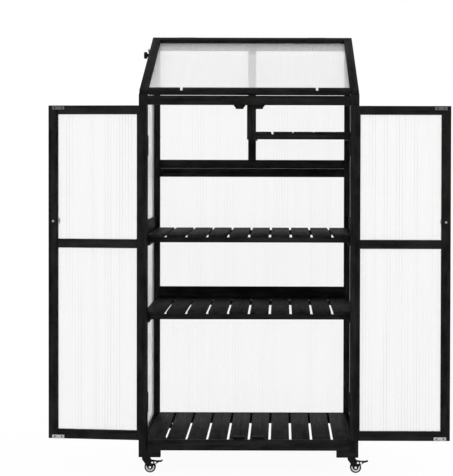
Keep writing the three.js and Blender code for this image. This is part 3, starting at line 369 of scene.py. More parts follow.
# %% [markdown]
# ## Twin-wall sheet
# The panes are two thin walls with ribs between them. From the front they read as milky white with
# faint upright lines, and a dark batten behind one shows as a soft grey. So each face has three shares:
# one that is clear, one that passes light but bends it aside as the ribs do, and one that is plain
# white. The ribs shift the shares a little. The lid's sheet is clearer over its back edge, because what
# lies right behind such a sheet shows through it more sharply than what lies far behind it.

# %% The sheet, with ribs across one axis
RIB_PITCH = 10.5
CLEAR_EDGE = (0.12, 0.18)  # from here to here the lid's sheet turns clearer, in metres of Y
SLOW, DRIFT = 1.2, 38.0  # how fast the ribs' strength changes along them and across them


def twin_wall(name, axis, passed, solid_share, rib_tone, bend=1.25, frost=0.12, clear_back=0.0):
    f = Finish(name, Specular_IOR_Level=0.5, IOR=bend, Transmission_Weight=passed)
    place = f.place()
    along = f.node("SeparateXYZ", {}, {0: place}, out=axis)

    def waves(length):
        phase = along * (math.tau / (length * MM))
        return f.node("Math", {"operation": "COSINE"}, {0: phase}) * 0.5 + 0.5

    stretch = [SLOW, SLOW, SLOW]
    stretch[axis] = DRIFT
    uneven = f.spread(f.noise(f.scaled(place, stretch), detail=1.0), 0.38, 0.66)
    rib = waves(RIB_PITCH) ** 4 * uneven
    cloud = f.noise(f.scaled(place, (3, 3, 3)), detail=1.0)
    if clear_back:
        depth = f.node("SeparateXYZ", {}, {0: place}, out="Y")
        solid_share = solid_share - clear_back * f.spread(depth, *CLEAR_EDGE)
    f.set(
        Base_Color=f.blend(rib, grey(0.98), grey(rib_tone)),
        Alpha=solid_share + 0.06 * rib + 0.03 * cloud,
        Roughness=frost + 0.06 * cloud,
        Normal=f.bump(waves(RIB_PITCH / 4), 0.2 * MM),
    )
    return f.material


PANES = {
    "side": twin_wall("twin_wall_sheet_side", 1, 0.88, 0.50, 0.90, bend=1.15, frost=0.42),
    "back": twin_wall("twin_wall_sheet_back", 0, 0.92, 0.62, 0.93),
    "door": twin_wall("twin_wall_sheet_door", 0, 0.70, 0.58, 0.84),
    "lid": twin_wall("twin_wall_sheet_lid", 0, 0.22, 0.50, 0.94, frost=0.05, clear_back=0.15),
}
print("finishes", [m.name for m in PANES.values()])

# %% [markdown]
# ## Metal and plastic
# Strike plates and a few screws are zinc plated: grey, with a fine brushing and a few cloudy spots. The
# upper strike plates are given a darker copy of that zinc, and the screws on the black hinges are dark.
# Hinges, stay and caster forks are coated black. The catches, knobs and wheels are moulded plastic with
# a faint texture.

# %% Zinc, coated steel and moulded plastic
def zinc(name, dark, light, rough):
    f = Finish(name, Metallic=1.0)
    place = f.place()
    brushed = f.noise(f.scaled(place, (900, 900, 60)), detail=2.0)
    cloud = f.noise(f.scaled(place, (130, 130, 130)), detail=3.0)
    tone = f.spread(brushed * 0.5 + cloud * 0.5, 0.35, 0.65)
    f.set(
        Base_Color=f.blend(tone, grey(dark), grey(light)),
        Roughness=rough + 0.2 * cloud,
        Normal=f.bump(brushed, 0.02 * MM, 0.4),
    )
    return f.material


def moulded(name, dark, light, rough, grit=900, spec=0.3):
    f = Finish(name, Specular_IOR_Level=spec)
    place = f.place()
    fine = f.noise(f.scaled(place, (grit, grit, grit)), detail=2.0)
    broad = f.noise(f.scaled(place, (70, 70, 70)), detail=2.0)
    f.set(
        Base_Color=f.blend(f.spread(broad, 0.3, 0.7), grey(dark), grey(light)),
        Roughness=rough + 0.12 * fine,
        Normal=f.bump(fine, 0.03 * MM, 0.5),
    )
    return f.material


steel = zinc("zinc_plated_steel", 0.30, 0.48, 0.28)
strike = zinc("strike_plate_steel", 0.38, 0.62, 0.3)
# The upper strike plates get a darker copy of the same zinc.
darker_zinc = zinc("darker_strike_plate_steel", 0.10, 0.19, 0.35)
dark = zinc("dark_screw_steel", 0.05, 0.10, 0.35)
bright = zinc("bright_rivet_steel", 0.78, 0.92, 0.1)
coated = moulded("black_coated_steel", 0.003, 0.007, 0.36, 1400, 0.12)
plastic = moulded("black_plastic", 0.003, 0.007, 0.42, 900, 0.14)
tyre = moulded("wheel_tread", 0.003, 0.008, 0.6, 900, 0.1)
# The hub is black plastic, and its black is also painted shade beside the fork's leg.
hub_with_painted_shade = moulded("wheel_hub", 0.005, 0.010, 0.5, 900, 0.15)
trim = moulded("wheel_trim", 0.80, 0.90, 0.35)
metals = (steel, strike, darker_zinc, dark, bright, coated, plastic, tyre, hub_with_painted_shade, trim)
print("finishes", ", ".join(m.name for m in metals))

# %% [markdown]
# ## Side frames
# Each side is a glued frame: two posts, a sloped top rail, a middle and a bottom rail, and inside them
# the cleats that carry the shelves. The posts are boxes whose tops are sliced along the lid's slope.
# The top rail is made flat in the lid's own frame and turned with it, and its ends are sliced upright.

# %% Sizes of the side frames
lid_normal = Vector((0, -math.sin(SLOPE), math.cos(SLOPE)))
GAP = 0.3
SEAT = 0.15  # between a rail's end and the post that it is glued to
BOARD_TOP = 84
LOW = BOARD_TOP + GAP
DECK_TOP = 121
SIDE_THICK = 15
MIDDLE_RAIL = (832.5, 883)
CLEAT_X, CLEAT_TALL = (350.7, 376.7), 30
HALF_CLEAT_WIDE, HALF_CLEAT_TALL = 12, 19
SLAT_THICK = 9
LOWER_TOP, UPPER_TOP, HALF_TOP = 570.5, 841.5, 1204.5  # the shelves' upper faces
LOWER_SEAT, UPPER_SEAT, HALF_SEAT = (
    top - SLAT_THICK - GAP for top in (LOWER_TOP, UPPER_TOP, HALF_TOP)
)
TALL = 1600  # above all that is sliced off under the lid
BETWEEN_POSTS = (POST + SEAT, DEPTH - POST - SEAT)
print("posts", POST, "mm thick, deck at", DECK_TOP, "mm, shelves at", LOWER_TOP, UPPER_TOP, HALF_TOP)


# %% Side frames
def post(side, depth):
    corners = between(across(side, INNER, HALF), depth, (LOW, TALL))
    top = spot(0, 0, REST_HEIGHT) - lid_normal * GAP * MM
    return batten(corners, "Z", cuts=[(top, lid_normal)])


def sloped_rail(side):
    back_to_lid = lid_place.inverted()
    cuts = []
    for depth, way in zip(BETWEEN_POSTS, (-1, 1)):
        point = back_to_lid @ spot(0, depth, REST_HEIGHT)
        cuts.append((point, back_to_lid.to_3x3() @ Vector((0, way, 0))))
    too_long = (-20, 700)
    corners = here(across(side, HALF - SIDE_THICK, HALF), too_long, (-POST - GAP, -GAP))
    return batten(corners, "Y", lid_place, cuts)


def side_rail(side, near, far, z):
    return batten(between(across(side, near, far), BETWEEN_POSTS, z), "Y")


def side_frame(side):
    parts = [post(side, (0, POST)), post(side, (DEPTH - POST, DEPTH)), sloped_rail(side)]
    for z in (MIDDLE_RAIL, (LOW, DECK_TOP)):
        parts.append(side_rail(side, HALF - SIDE_THICK, HALF, z))
    for seat in (LOWER_SEAT, UPPER_SEAT):
        parts.append(side_rail(side, *CLEAT_X, (seat - CLEAT_TALL, seat)))
    if side > 0:
        z = (HALF_SEAT - HALF_CLEAT_TALL, HALF_SEAT)
        parts.append(side_rail(side, INNER, INNER + HALF_CLEAT_WIDE, z))
    return gather(parts)


for name, side in SIDES:
    node = f"side_frame_{name}"
    whole = piece(f"{node}_battens", side_frame(side), wood, "cabinet", [node])
    print(whole.name, len(whole.data.polygons), "faces")

# %% [markdown]
# ## Rails and boards
# The front and back rails are plain battens. Their places are read from the CAD nodes, so they only
# need the bevel and their grain. The boards that carry the casters have a wider block at each end.

# %% Plain rails
RAILS = (
    "front_top_rail", "front_bottom_rail", "back_rail_middle", "back_rail_bottom", "back_rail_shelf",
)
for name in RAILS:
    piece(f"{name}_batten", batten(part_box(name), "X"), wood, "cabinet", [name])
print(len(RAILS), "plain battens")

# %% Caster boards and the upper back frame
BOARD = (60, BOARD_TOP)
BOARD_WIDE, BLOCK_WIDE, BLOCK_DEEP = 46, 77, 18
RAIL_THICK = 18
BACK_RAIL = (1069.65, 1102.5)
MULLION_X, MULLION_Y = (-15, 15), (546.7, 558.7)
TOP_RAIL_TALL, UNDER_LID = 35.3, 5.3
TOP_RAIL_AT = 559  # depth at which the height of the top rail is taken


def caster_board(side):
    deep = (BLOCK_DEEP + SEAT, DEPTH - BLOCK_DEEP - SEAT)
    parts = [batten(between(across(side, HALF - BOARD_WIDE, HALF), deep, BOARD), "Y")]
    for depth in ((0, BLOCK_DEEP), (DEPTH - BLOCK_DEEP, DEPTH)):
        parts.append(batten(between(across(side, HALF - BLOCK_WIDE, HALF), depth, BOARD), "X"))
    return gather(parts)


def upper_back_frame():
    depth = (DEPTH - RAIL_THICK, DEPTH)
    under_lid = spot(0, 0, REST_HEIGHT) - lid_normal * UNDER_LID * MM
    top_low = REST_HEIGHT + TOP_RAIL_AT * math.tan(SLOPE) - TOP_RAIL_TALL
    x = (-INNER + GAP, INNER - GAP)
    return gather([
        batten(between(x, depth, (top_low, TALL)), "X", cuts=[(under_lid, lid_normal)]),
        batten(between(x, depth, BACK_RAIL), "X"),
        batten(between(MULLION_X, MULLION_Y, (BACK_RAIL[1] + SEAT, top_low - SEAT)), "Z"),
    ])


for name, side in SIDES:
    node = f"caster_board_{name}"
    piece(f"{node}_battens", caster_board(side), wood, "cabinet", [node])
piece("back_frame_battens", upper_back_frame(), wood, "cabinet", ["back_frame_upper"])
print("caster boards", BOARD_WIDE, "mm wide, blocks", BLOCK_WIDE)

# %% [markdown]
# ## Slatted shelves and deck
# Ten slats lie on a front and a back rail. The outermost slats reach past the posts, so their corners
# are notched: their outline is drawn with the notches and extruded to the slat's thickness. A boolean
# could cut them too, but the drawn outline keeps the edges clean for the bevel. The half shelf has five
# slats, and its left end rests on a cleat that hangs from the front rail on a batten.

# %% Slats
SLAT, SLAT_GAP = 65.27, 8.3
ROW_LEFT = -(10 * SLAT + 9 * SLAT_GAP) / 2
NOTCH = INNER - 1
NOTCH_ENDS = (POST + 1, DEPTH - POST - 1)
print("slats", SLAT, "mm wide and", SLAT_GAP, "mm apart")


def slat(left, right, front, back, top):
    z = (top - SLAT_THICK, top)
    if right < NOTCH and left > -NOTCH:
        return batten(between((left, right), (front, back), z), "Y")
    side = 1 if left > 0 else -1
    outer, inner = (right, left) if side > 0 else (left, right)
    cut = side * NOTCH
    near, far = NOTCH_ENDS
    outline = [
        (cut, front), (inner, front), (inner, back), (cut, back),
        (cut, far), (outer, far), (outer, near), (cut, near),
    ]
    bm = slab([spot(x, depth, z[0]) for x, depth in outline], Vector((0, 0, SLAT_THICK * MM)))
    soften(bm, EASE)
    mark_grain(bm, "Y")
    return bm


def slatted(row, front, back, top, rail_x, rail_heights):
    parts = [slat(left, right, front, back, top) for left, right in row]
    under = top - SLAT_THICK
    ends = ((front, front + RAIL_THICK), (back - RAIL_THICK, back))
    for depth, height in zip(ends, rail_heights):
        parts.append(batten(between(rail_x, depth, (under - height, under - SEAT)), "X"))
    return gather(parts)


# %% Shelves and deck
SHELF_FRONT, SHELF_BACK, SHELF_RAIL = 22, 540.4, (-349.7, 349.7)
HALF_SHELF_FRONT, HALF_SHELF_LEFT = 32, 22
DECK_FRONT, DECK_BACK, DECK_RAIL_TALL = 18.3, 551.7, 27.7
full_row = []
for i in range(10):
    left = ROW_LEFT + i * (SLAT + SLAT_GAP)
    full_row.append((left, left + SLAT))
# The half shelf's slats stand unevenly, so each has its own left and right side.
half_row = [(9, 76.48), (84.78, 152.9), (156.2, 224.9), (228.1, 296.9), (300.1, 368.2)]
shelves = {
    "shelf_lower": (full_row, SHELF_FRONT, SHELF_BACK, LOWER_TOP, SHELF_RAIL, (18, 18)),
    "shelf_upper": (full_row, SHELF_FRONT, SHELF_BACK, UPPER_TOP, SHELF_RAIL, (18, 18)),
    "shelf_half": (
        half_row, HALF_SHELF_FRONT, SHELF_BACK, HALF_TOP, (HALF_SHELF_LEFT, NOTCH), (18, 13),
    ),
    "deck": (
        full_row, DECK_FRONT, DECK_BACK, DECK_TOP, (-NOTCH, NOTCH), (DECK_RAIL_TALL, DECK_RAIL_TALL),
    ),
}
for name, sizes in shelves.items():
    piece(f"{name}_slats", slatted(*sizes), wood, "cabinet", [name])
print("shelves", list(shelves))

# %% The batten that hangs from the front rail
FRONT_RAIL_LOW, FRONT_RAIL_TALL = 1297.5, 32.5
HANGER_TOP = FRONT_RAIL_LOW + FRONT_RAIL_TALL
HANGER_Y = (30.3, 45.3)
HANGER_LEFT, HANGER_STEP, HANGER_RIGHT = -8, 8.85, 21
CLEAT_BACK = 546.4
ABOVE_SLATS = HALF_TOP + 1
low = HALF_SEAT - HALF_CLEAT_TALL
hanger = gather([
    batten(between((HANGER_LEFT, HANGER_STEP), HANGER_Y, (low, HANGER_TOP)), "Z"),
    batten(between((HANGER_STEP, HANGER_RIGHT), HANGER_Y, (ABOVE_SLATS, HANGER_TOP)), "Z"),
    batten(
        between((HANGER_STEP + SEAT, HANGER_RIGHT), (HANGER_Y[0], CLEAT_BACK), (low, HALF_SEAT)), "Y",
    ),
])
piece("half_shelf_hanger_battens", hanger, wood, "cabinet", ["half_shelf_hanger"])
print("hanger from", low, "to", HANGER_TOP)

# %% [markdown]
# ## Panes
# The panes are flat and their CAD shape is right, so the nodes stay and only get the twin-wall finish,
# with the ribs upright or running down the lid.

# %% Panes
def paint(node, finish):
    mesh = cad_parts[node].data
    mesh.materials.clear()
    mesh.materials.append(finish)


panes = [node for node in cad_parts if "sheet" in node]
for node in panes:
    paint(node, PANES[node.split("_")[0]])
print(len(panes), "panes")

# %% [markdown]
# ## Screws
# Small fittings are held by countersunk and pan head screws. A cross could be cut into each head with a
# boolean, but it is smaller than a pixel here. One turned profile with a dished recess serves for all,
# scaled to the head's radius and height.

# %% Screws
HEADS = {"plate": (2.8, 0.34), "knob": (4.2, 0.59), "leaf": (2.5, 0.25), "lid": (2.3, 0.3)}


def screw(kind, point, direction):
    radius, height = HEADS[kind]
    profile = [
        (0, height * 0.2), (radius * 0.22, height * 0.35), (radius * 0.38, height * 0.95),
        (radius * 0.6, height), (radius * 0.92, height * 0.7), (radius, height * 0.1),
        (radius, -0.4), (0, -0.4),
    ]
    return turned(profile, facing(direction, point), steps=14)


print("screw heads", HEADS)

# %% [markdown]
# ## Doors
# A door is made shut in its own frame, with the hinge pin as the origin, and then turned open with one
# matrix, as the CAD does. Stiles run the full height and the rails stand between them. Steel strike
# plates lie in shallow pockets at the corners that meet the magnets.

# %% Sizes of the doors
DOOR_ANGLES = {"left": 186.5, "right": 180.0}
PIN_IN, PIN_FRONT = 2, 4  # the pin stands this far inside the post and before its face
DOOR_WIDTH, STILE, DOOR_LOW, DOOR_HIGH = 348.5, 33, 124, 1294.5
OUTER_FACE, INNER_FACE = 4, 19.4  # plates and screws on the inner face end at 20, as the CAD door
TOP_RAIL, MIDDLE_RAIL_Z = 31, (796, 827)
KNOB_HEIGHT = 889
KNOB_X = PIN_IN + DOOR_WIDTH - STILE / 2
PLATE_BACK, PLATE_FACE = 18.3, INNER_FACE + 0.25
PLATE_TALL, PLATE_LONG, PLATE_INSET = 11.5, 44, 13
PLATE_END = DOOR_WIDTH + PIN_IN - PLATE_INSET
STRIKES = (DOOR_HIGH - 3 - PLATE_TALL, DOOR_LOW + 1.5)  # the feet of the top and the bottom plate
SCREW_SHARES = (0.22, 0.78)  # of the plate's length
AHEAD, BEHIND = Vector((0, -1, 0)), Vector((0, 1, 0))
print("doors", DOOR_WIDTH, "mm wide and", DOOR_HIGH - DOOR_LOW, "mm tall")


# %% Places on a door
def door_pin(side):
    return Matrix.Translation(spot(side * (INNER - PIN_IN), -PIN_FRONT, 0))


def door_place(name, side):
    angle = math.radians(DOOR_ANGLES[name])
    return door_pin(side) @ Matrix.Rotation(side * angle, 4, "Z")


def on_door(place, x, y, z):
    return place @ Vector((x * MM, y * MM, z * MM))


# %% Door frames
def door_frame(side, place):
    def span(near, far):
        return across(-side, near + PIN_IN, far + PIN_IN)

    y, z = (OUTER_FACE, INNER_FACE), (DOOR_LOW, DOOR_HIGH)
    parts = [
        batten(here(span(0, STILE), y, z), "Z", place),
        batten(here(span(DOOR_WIDTH - STILE, DOOR_WIDTH), y, z), "Z", place),
    ]
    rail_x = span(STILE + SEAT, DOOR_WIDTH - STILE - SEAT)
    for rail in ((DOOR_HIGH - TOP_RAIL, DOOR_HIGH), MIDDLE_RAIL_Z, (DOOR_LOW, DOOR_LOW + STILE)):
        parts.append(batten(here(rail_x, y, rail), "X", place))
    return gather(parts)


# %% Strike plates and knobs
def strike_plate(side, z, place):
    x = across(-side, PLATE_END - PLATE_LONG, PLATE_END)
    plate = solid(*here(x, (PLATE_BACK, PLATE_FACE), (z, z + PLATE_TALL)))
    soften(plate, 0.3 * MM, 1)
    plate.transform(place)
    return plate


def plate_screws(side, place):
    parts = []
    for z in STRIKES:
        for share in SCREW_SHARES:
            x = -side * (PLATE_END - PLATE_LONG * share)
            at = on_door(place, x, PLATE_FACE, z + PLATE_TALL / 2)
            parts.append(screw("plate", at, place.to_3x3() @ BEHIND))
    return gather(parts)


def door_knob(side, place):
    profile = [
        (0, 0), (10, 0), (9.4, 1.6), (8.0, 4), (7.5, 7.5), (8.4, 10), (12.5, 12.5), (15.8, 14.2),
        (17, 16.4), (17, 18.6), (16, 21), (13, 23), (8, 23.9), (0, 24),
    ]
    at = on_door(place, -side * KNOB_X, OUTER_FACE - GAP, KNOB_HEIGHT)
    return turned(profile, facing(place.to_3x3() @ AHEAD, at), steps=40)


def knob_screw(side, place):
    at = on_door(place, -side * KNOB_X, INNER_FACE, KNOB_HEIGHT)
    return screw("knob", at, place.to_3x3() @ BEHIND)


# %% Doors
for name, side in SIDES:
    place = door_place(name, side)
    body = f"door_{name}"
    node = f"door_frame_{name}"
    piece(f"{body}_battens", door_frame(side, place), wood, body, [node])
    # The top plate takes the darker copy of the zinc, the bottom one the lighter.
    for level, z, finish in zip(("top", "bottom"), STRIKES, (darker_zinc, strike)):
        plate = strike_plate(side, z, place)
        piece(f"{body}_strike_plate_{level}", plate, finish, body)
    piece(f"{body}_plate_screws", plate_screws(side, place), coated, body)
    node = f"door_knob_{name}"
    piece(f"{body}_knob_turned", door_knob(side, place), plastic, body, [node])
    piece(f"{body}_knob_screw", knob_screw(side, place), steel, body)
    print(body, "opened by", DOOR_ANGLES[name], "degrees")

# %% [markdown]
# ## Hinges
# A butt hinge is two leaves that are rolled round one pin, here in black coated steel. The roll could be
# bent from the sheet, but a thin plate that runs into short turned tubes looks the same at this size.
# Both leaves are made about the pin and then put in the place of the post or of the door.

# %% Sizes of the hinges
HINGE = 70
THIRDS = [i * HINGE / 3 - HINGE / 2 for i in range(4)]
LEAF_X = (0.5, 1.7)
LEAF_START, ROLL = 3.3, (1.6, 4.2)  # the flat of a leaf begins beside the roll round the pin
POST_LEAF, DOOR_LEAF = 15, 13
PIN_R, BORE_R, KNUCKLE_R, KNUCKLE_EASE = 1.3, 1.7, 3, 0.3
LEAF_SCREWS = {-26: 0.62, 0: 0.5, 26: 0.62}  # height on the leaf and share of its depth
HINGES = {"upper": 1154, "lower": 256}
print("hinges", HINGE, "mm tall")


# %% Butt hinges
def knuckle(low, high, place):
    shoulder, ease = KNUCKLE_R - KNUCKLE_EASE, KNUCKLE_EASE
    profile = [
        (BORE_R, low), (shoulder, low), (KNUCKLE_R, low + ease), (KNUCKLE_R, high - ease),
        (shoulder, high), (BORE_R, high),
    ]
    return turned(profile, place, steps=20, ring=True)


def leaf_plate(x, y, z, place):
    bm = soften(solid(*here(x, y, z)), 0.35 * MM)
    bm.transform(place)
    return bm


def leaf(side, depth, fixed, place):
    """A leaf about a pin along Z. It lies beside the pin and reaches to +Y."""
    x = across(side, *LEAF_X)
    foot, first, second, head = THIRDS
    parts = [leaf_plate(x, (LEAF_START, LEAF_START + depth), (foot, head), place)]
    spans = [(foot, first - GAP), (second + GAP, head)] if fixed else [(first, second)]
    for low, high in spans:
        parts.append(knuckle(low, high, place))
        parts.append(leaf_plate(x, ROLL, (low, high), place))
    if fixed:
        pin = [(0, foot), (PIN_R, foot), (PIN_R, head), (0, head)]
        parts.append(turned(pin, place, steps=16))
    return gather(parts)


def leaf_screws(side, depth, place):
    parts = []
    for z, share in LEAF_SCREWS.items():
        at = on_door(place, side * LEAF_X[0], LEAF_START + depth * share, z)
        parts.append(screw("leaf", at, place.to_3x3() @ Vector((-side, 0, 0))))
    return gather(parts)


# %% Hinges of the doors
def hang(node, body, side, depth, fixed, place):
    shape = leaf(side, depth, fixed, place)
    piece(f"{node}_leaf", shape, coated, body, [node])
    screws = leaf_screws(side, depth, place)
    piece(f"{node}_screws", screws, dark, body)


for name, side in SIDES:
    for level, height in HINGES.items():
        lift = Matrix.Translation((0, 0, height * MM))
        shut, opened = door_pin(side) @ lift, door_place(name, side) @ lift
        hang(f"post_hinge_{level}_{name}", "cabinet", side, POST_LEAF, True, shut)
        hang(f"door_hinge_{level}_{name}", f"door_{name}", -side, DOOR_LEAF, False, opened)
print("door hinges at", HINGES)

# %% [markdown]
# ## Lid
# The lid is a light frame over one sheet. It is made flat in its own frame and turned to the slope with
# the lid's matrix. Two notches in the front rail drain the rain, and a lip hangs under that rail. The
# rail could be cut with a boolean, but five stretches side by side, of which two are sliced down to a
# sill that is level on the sloping lid, keep the mesh clean.

# %% Sizes of the lid
LID_HALF, LID_THICK, LID_RAIL = 384, 14, 30
LID_FRONT, LID_BACK = 3 / math.cos(SLOPE), 568 / math.cos(SLOPE)
LID_Z = (GAP, GAP + LID_THICK)
LID_INSIDE = LID_HALF - LID_RAIL - SEAT
DRAIN, DRAIN_WIDTH, DRAIN_SILL = 0.62 * LID_HALF, 9, 1.2  # place, width and sill
LIP_DEEP, LIP_Z = 7.7, (-4.6, 6)
print("lid slopes at", round(math.degrees(SLOPE), 1), "degrees")


# %% Lid frame
def drained_rail(x):
    """The front rail in five stretches of one stave, of which every second one is a drain."""
    y = (LID_FRONT, LID_FRONT + LID_RAIL)
    sill = Vector((0, y[1] * MM, (LID_Z[0] + DRAIN_SILL) * MM))
    level = Vector((0, math.sin(SLOPE), math.cos(SLOPE)))
    edges = [x[0]]
    for middle in (-DRAIN, DRAIN):
        edges += [middle - DRAIN_WIDTH / 2, middle + DRAIN_WIDTH / 2]
    edges.append(x[1])
    parts = []
    stave = dice.getstate()
    for i, stretch in enumerate(zip(edges, edges[1:])):
        dice.setstate(stave)
        cuts, ease = ([(sill, level)], 0.4 * MM) if i % 2 else ([], EASE)
        parts.append(batten(here(stretch, y, LID_Z), "X", lid_place, cuts, ease))
    return parts


def lid_frame():
    parts = []
    for side in (-1, 1):
        x = across(side, LID_HALF - LID_RAIL, LID_HALF)
        parts.append(batten(here(x, (LID_FRONT, LID_BACK), LID_Z), "Y", lid_place))
    x = (-LID_INSIDE, LID_INSIDE)
    parts += drained_rail(x)
    parts.append(batten(here(x, (LID_FRONT, LID_FRONT + LIP_DEEP), LIP_Z), "X", lid_place))
    parts.append(batten(here(x, (LID_BACK - LID_RAIL, LID_BACK), LID_Z), "X", lid_place))
    return gather(parts)


piece("lid_frame_battens", lid_frame(), wood, "lid", ["lid_frame"])
print("lid", round(LID_BACK - LID_FRONT), "mm long")

# %% [markdown]
# ## Lid hinges and stay
# The lid turns on two hinges behind the back rail. A slotted bar on the left side slides along a bolt
# with a hand knob, which clamps the lid at any angle. The leaves and the bar are flat, so their CAD
# shape stays and gets a black coat. Screws are added to the leaves, and the knob is turned anew with a
# soft rim.

# %% Lid hinges
LEAF_THICK = 1.2
FIXED_SCREW_UP, MOVING_SCREW_UP = 13, 8.5  # above the fixed leaf's foot and above the lid's underside


def lid_hinge_screws(node, kind):
    low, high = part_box(node)
    middle = (low + high) / 2
    parts = []
    for shift in LEAF_SCREWS:
        x = middle.x + shift * MM
        if kind == "fixed":
            z = low.z + FIXED_SCREW_UP * MM
            at, way = Vector((x, FRONT_Y + (DEPTH + GAP + LEAF_THICK) * MM, z)), BEHIND
        else:
            flat = Vector((x, (LID_BACK + GAP + LEAF_THICK) * MM, MOVING_SCREW_UP * MM))
            at, way = lid_place @ flat, lid_place.to_3x3() @ BEHIND
        parts.append(screw("lid", at, way))
    return gather(parts)


for name, _ in SIDES:
    for kind, body in (("fixed", "cabinet"), ("moving", "lid")):
        node = f"lid_hinge_{kind}_{name}"
        paint(node, coated)
        piece(f"{node}_screws", lid_hinge_screws(node, kind), dark, body)
print("lid hinges with", len(LEAF_SCREWS), "screws in each leaf")

# %% Stay, pivot screw and clamping knob
STAY_FACE = 3.3  # the stay's outer face stands this far off the cabinet's side
PIVOT = [
    (0, -15), (2.5, -15), (2.5, 0), (5, 0), (5, 0.9), (4.2, 1.8), (2.6, 2), (1.7, 1.2), (0, 1.2),
]
GRIP = [
    (0, -14), (2.5, -14), (2.5, 0), (7, 0), (6.8, 1.5), (6.6, 4.4), (8, 5.8), (11.4, 6.4),
    (12.6, 7.4), (13, 9), (13, 15), (12.6, 16.6), (11.4, 17.7), (9.5, 18), (8.8, 17.3), (0, 17.1),
]


def on_stay(node, profile, steps):
    """Turns a profile about the middle of a node, from the stay's outer face to the left."""
    low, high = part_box(node)
    middle = Vector((-(HALF + STAY_FACE) * MM, (low.y + high.y) / 2, (low.z + high.z) / 2))
    return turned(profile, facing((-1, 0, 0), middle), steps=steps)


paint("lid_stay", coated)
pivot = on_stay("lid_stay_pivot", PIVOT, 24)
piece("lid_stay_pivot_screw", pivot, steel, "lid", ["lid_stay_pivot"])
grip = on_stay("stay_knob", GRIP, 40)
piece("stay_knob_turned", grip, plastic, "stay_knob", ["stay_knob"])
print("stay's knob", 2 * max(r for r, _ in GRIP), "mm wide")

# %% [markdown]
# ## Magnetic catches
# The catches under the front rail are small moulded blocks, and two pole plates of steel show on the
# side that meets the strike plate. Boxes do for the lower ones on the deck, but the upper ones have
# sloping shoulders that show in outline, so their shape is drawn and extruded.

# %% Catches
CATCH_X, CATCH_TOP = 34, FRONT_RAIL_LOW - GAP
CATCH_FRONT, CATCH_DEEP = 18.3, 11.4
SHOULDERS = [(-21.5, 0), (-15, -8.1), (-13, -13.5), (13, -13.5), (15, -8.1), (21.5, 0)]
POLE_HALF, POLE_RISE, POLE_THICK = 11, 2, 1.4
POLES = {"top": (CATCH_TOP - 10.5, 18.3), "bottom": (126.3, 18.6)}  # height and depth of each pair


def upper_catch(side):
    outline = [spot(side * CATCH_X + x, CATCH_FRONT, CATCH_TOP + z) for x, z in SHOULDERS]
    return soften(slab(outline, Vector((0, CATCH_DEEP * MM, 0))), 0.6 * MM)


def pole_plates(side, z, face):
    x = (side * CATCH_X - POLE_HALF, side * CATCH_X + POLE_HALF)
    parts = []
    for middle in (z - POLE_RISE, z + POLE_RISE):
        rise = (middle - POLE_THICK / 2, middle + POLE_THICK / 2)
        parts.append(solid(*between(x, (face - 0.4, face + 2), rise)))
    return gather(parts)


for name, side in SIDES:
    node = f"catch_top_{name}"
    piece(f"{node}_moulded", upper_catch(side), plastic, "cabinet", [node])
    node = f"catch_bottom_{name}"
    block = soften(solid(*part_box(node)), 3.4 * MM, 4)
    piece(f"{node}_moulded", block, plastic, "cabinet", [node])
    for level, place in POLES.items():
        poles = pole_plates(side, *place)
        piece(f"catch_{level}_{name}_poles", poles, coated, "cabinet")
print("catches", CATCH_X, "mm from the middle")

# %% [markdown]
# ## Casters
# A fork of pressed steel hangs from a ball race and holds the wheel behind its swivel axis. The front
# pair has a brake pedal that turns on a bright rivet, and its nose presses on the wheel. All could be
# carved from boxes, but it is shorter to follow the workshop: legs and pedal are punched outlines with
# rounded edges, and race, rivets and wheel are turned, with a dark tread on a dark hub and a pale trim
# between them. The hub's black is partly the plastic's own colour and partly painted shade beside the
# fork's leg.

# %% Sizes of the casters
WHEEL_X, AXLE_Z = 15, 20  # the axle, from the swivel axis and the floor
PEDAL_X, PEDAL_Z, LUG = 33.7, 37, 4.5
RIVETS = ((PEDAL_X, PEDAL_Z), (23, 37))
FORK_HALF, LEG_TOP, CROWN_Z, CROWN_WIDE = 13.3, 52.7, (48.7, 52.9), 17.6
LEG_Y, LEG_THICK = 9.7, 2
LEG_FACE = LEG_Y + LEG_THICK / 2
CASTER_IN, CASTERS = 23, {"front": 36, "back": 534}
print("caster rows", CASTERS, "mm behind the front")


# %% Punched plates and axles
def arc(cx, cz, radius, start, end, steps=10):
    turn = [math.radians(start + (end - start) * i / steps) for i in range(steps + 1)]
    return [(cx + radius * math.cos(a), cz + radius * math.sin(a)) for a in turn]


def punched(outline, middle, thickness, place, ease=0.4):
    """A plate in X and Z whose thickness lies around a place on Y."""
    y = (middle - thickness / 2) * MM
    bm = slab([Vector((x * MM, y, z * MM)) for x, z in outline], Vector((0, thickness * MM, 0)))
    soften(bm, ease * MM)
    bm.transform(place)
    return bm


def along_y(place, x, z):
    """A place in the caster whose Z axis is an axle that lies across the fork."""
    return place @ Matrix.Translation((x * MM, 0, z * MM)) @ Matrix.Rotation(-math.pi / 2, 4, "X")


# %% Forks
RACE = [
    (0, 52.4), (13.6, 52.4), (14.5, 53.2), (14.5, 55.2), (13.9, 55.8), (13.2, 56.2), (13.9, 56.6),
    (14.5, 57.2), (14.5, 59.2), (14.1, 59.7), (4, 59.7), (4, 76.5), (0, 76.5),
]
AXLE_HEAD = [(0, 1.6), (2.4, 1.6), (2.8, 1.9), (4, 1.7), (4.5, 1), (4.6, -0.6), (0, -0.6)]
DOME = [(0, 1.6), (2.2, 1.5), (3.6, 0.9), (4.1, 0.2), (4.1, -0.3), (0, -0.3)]


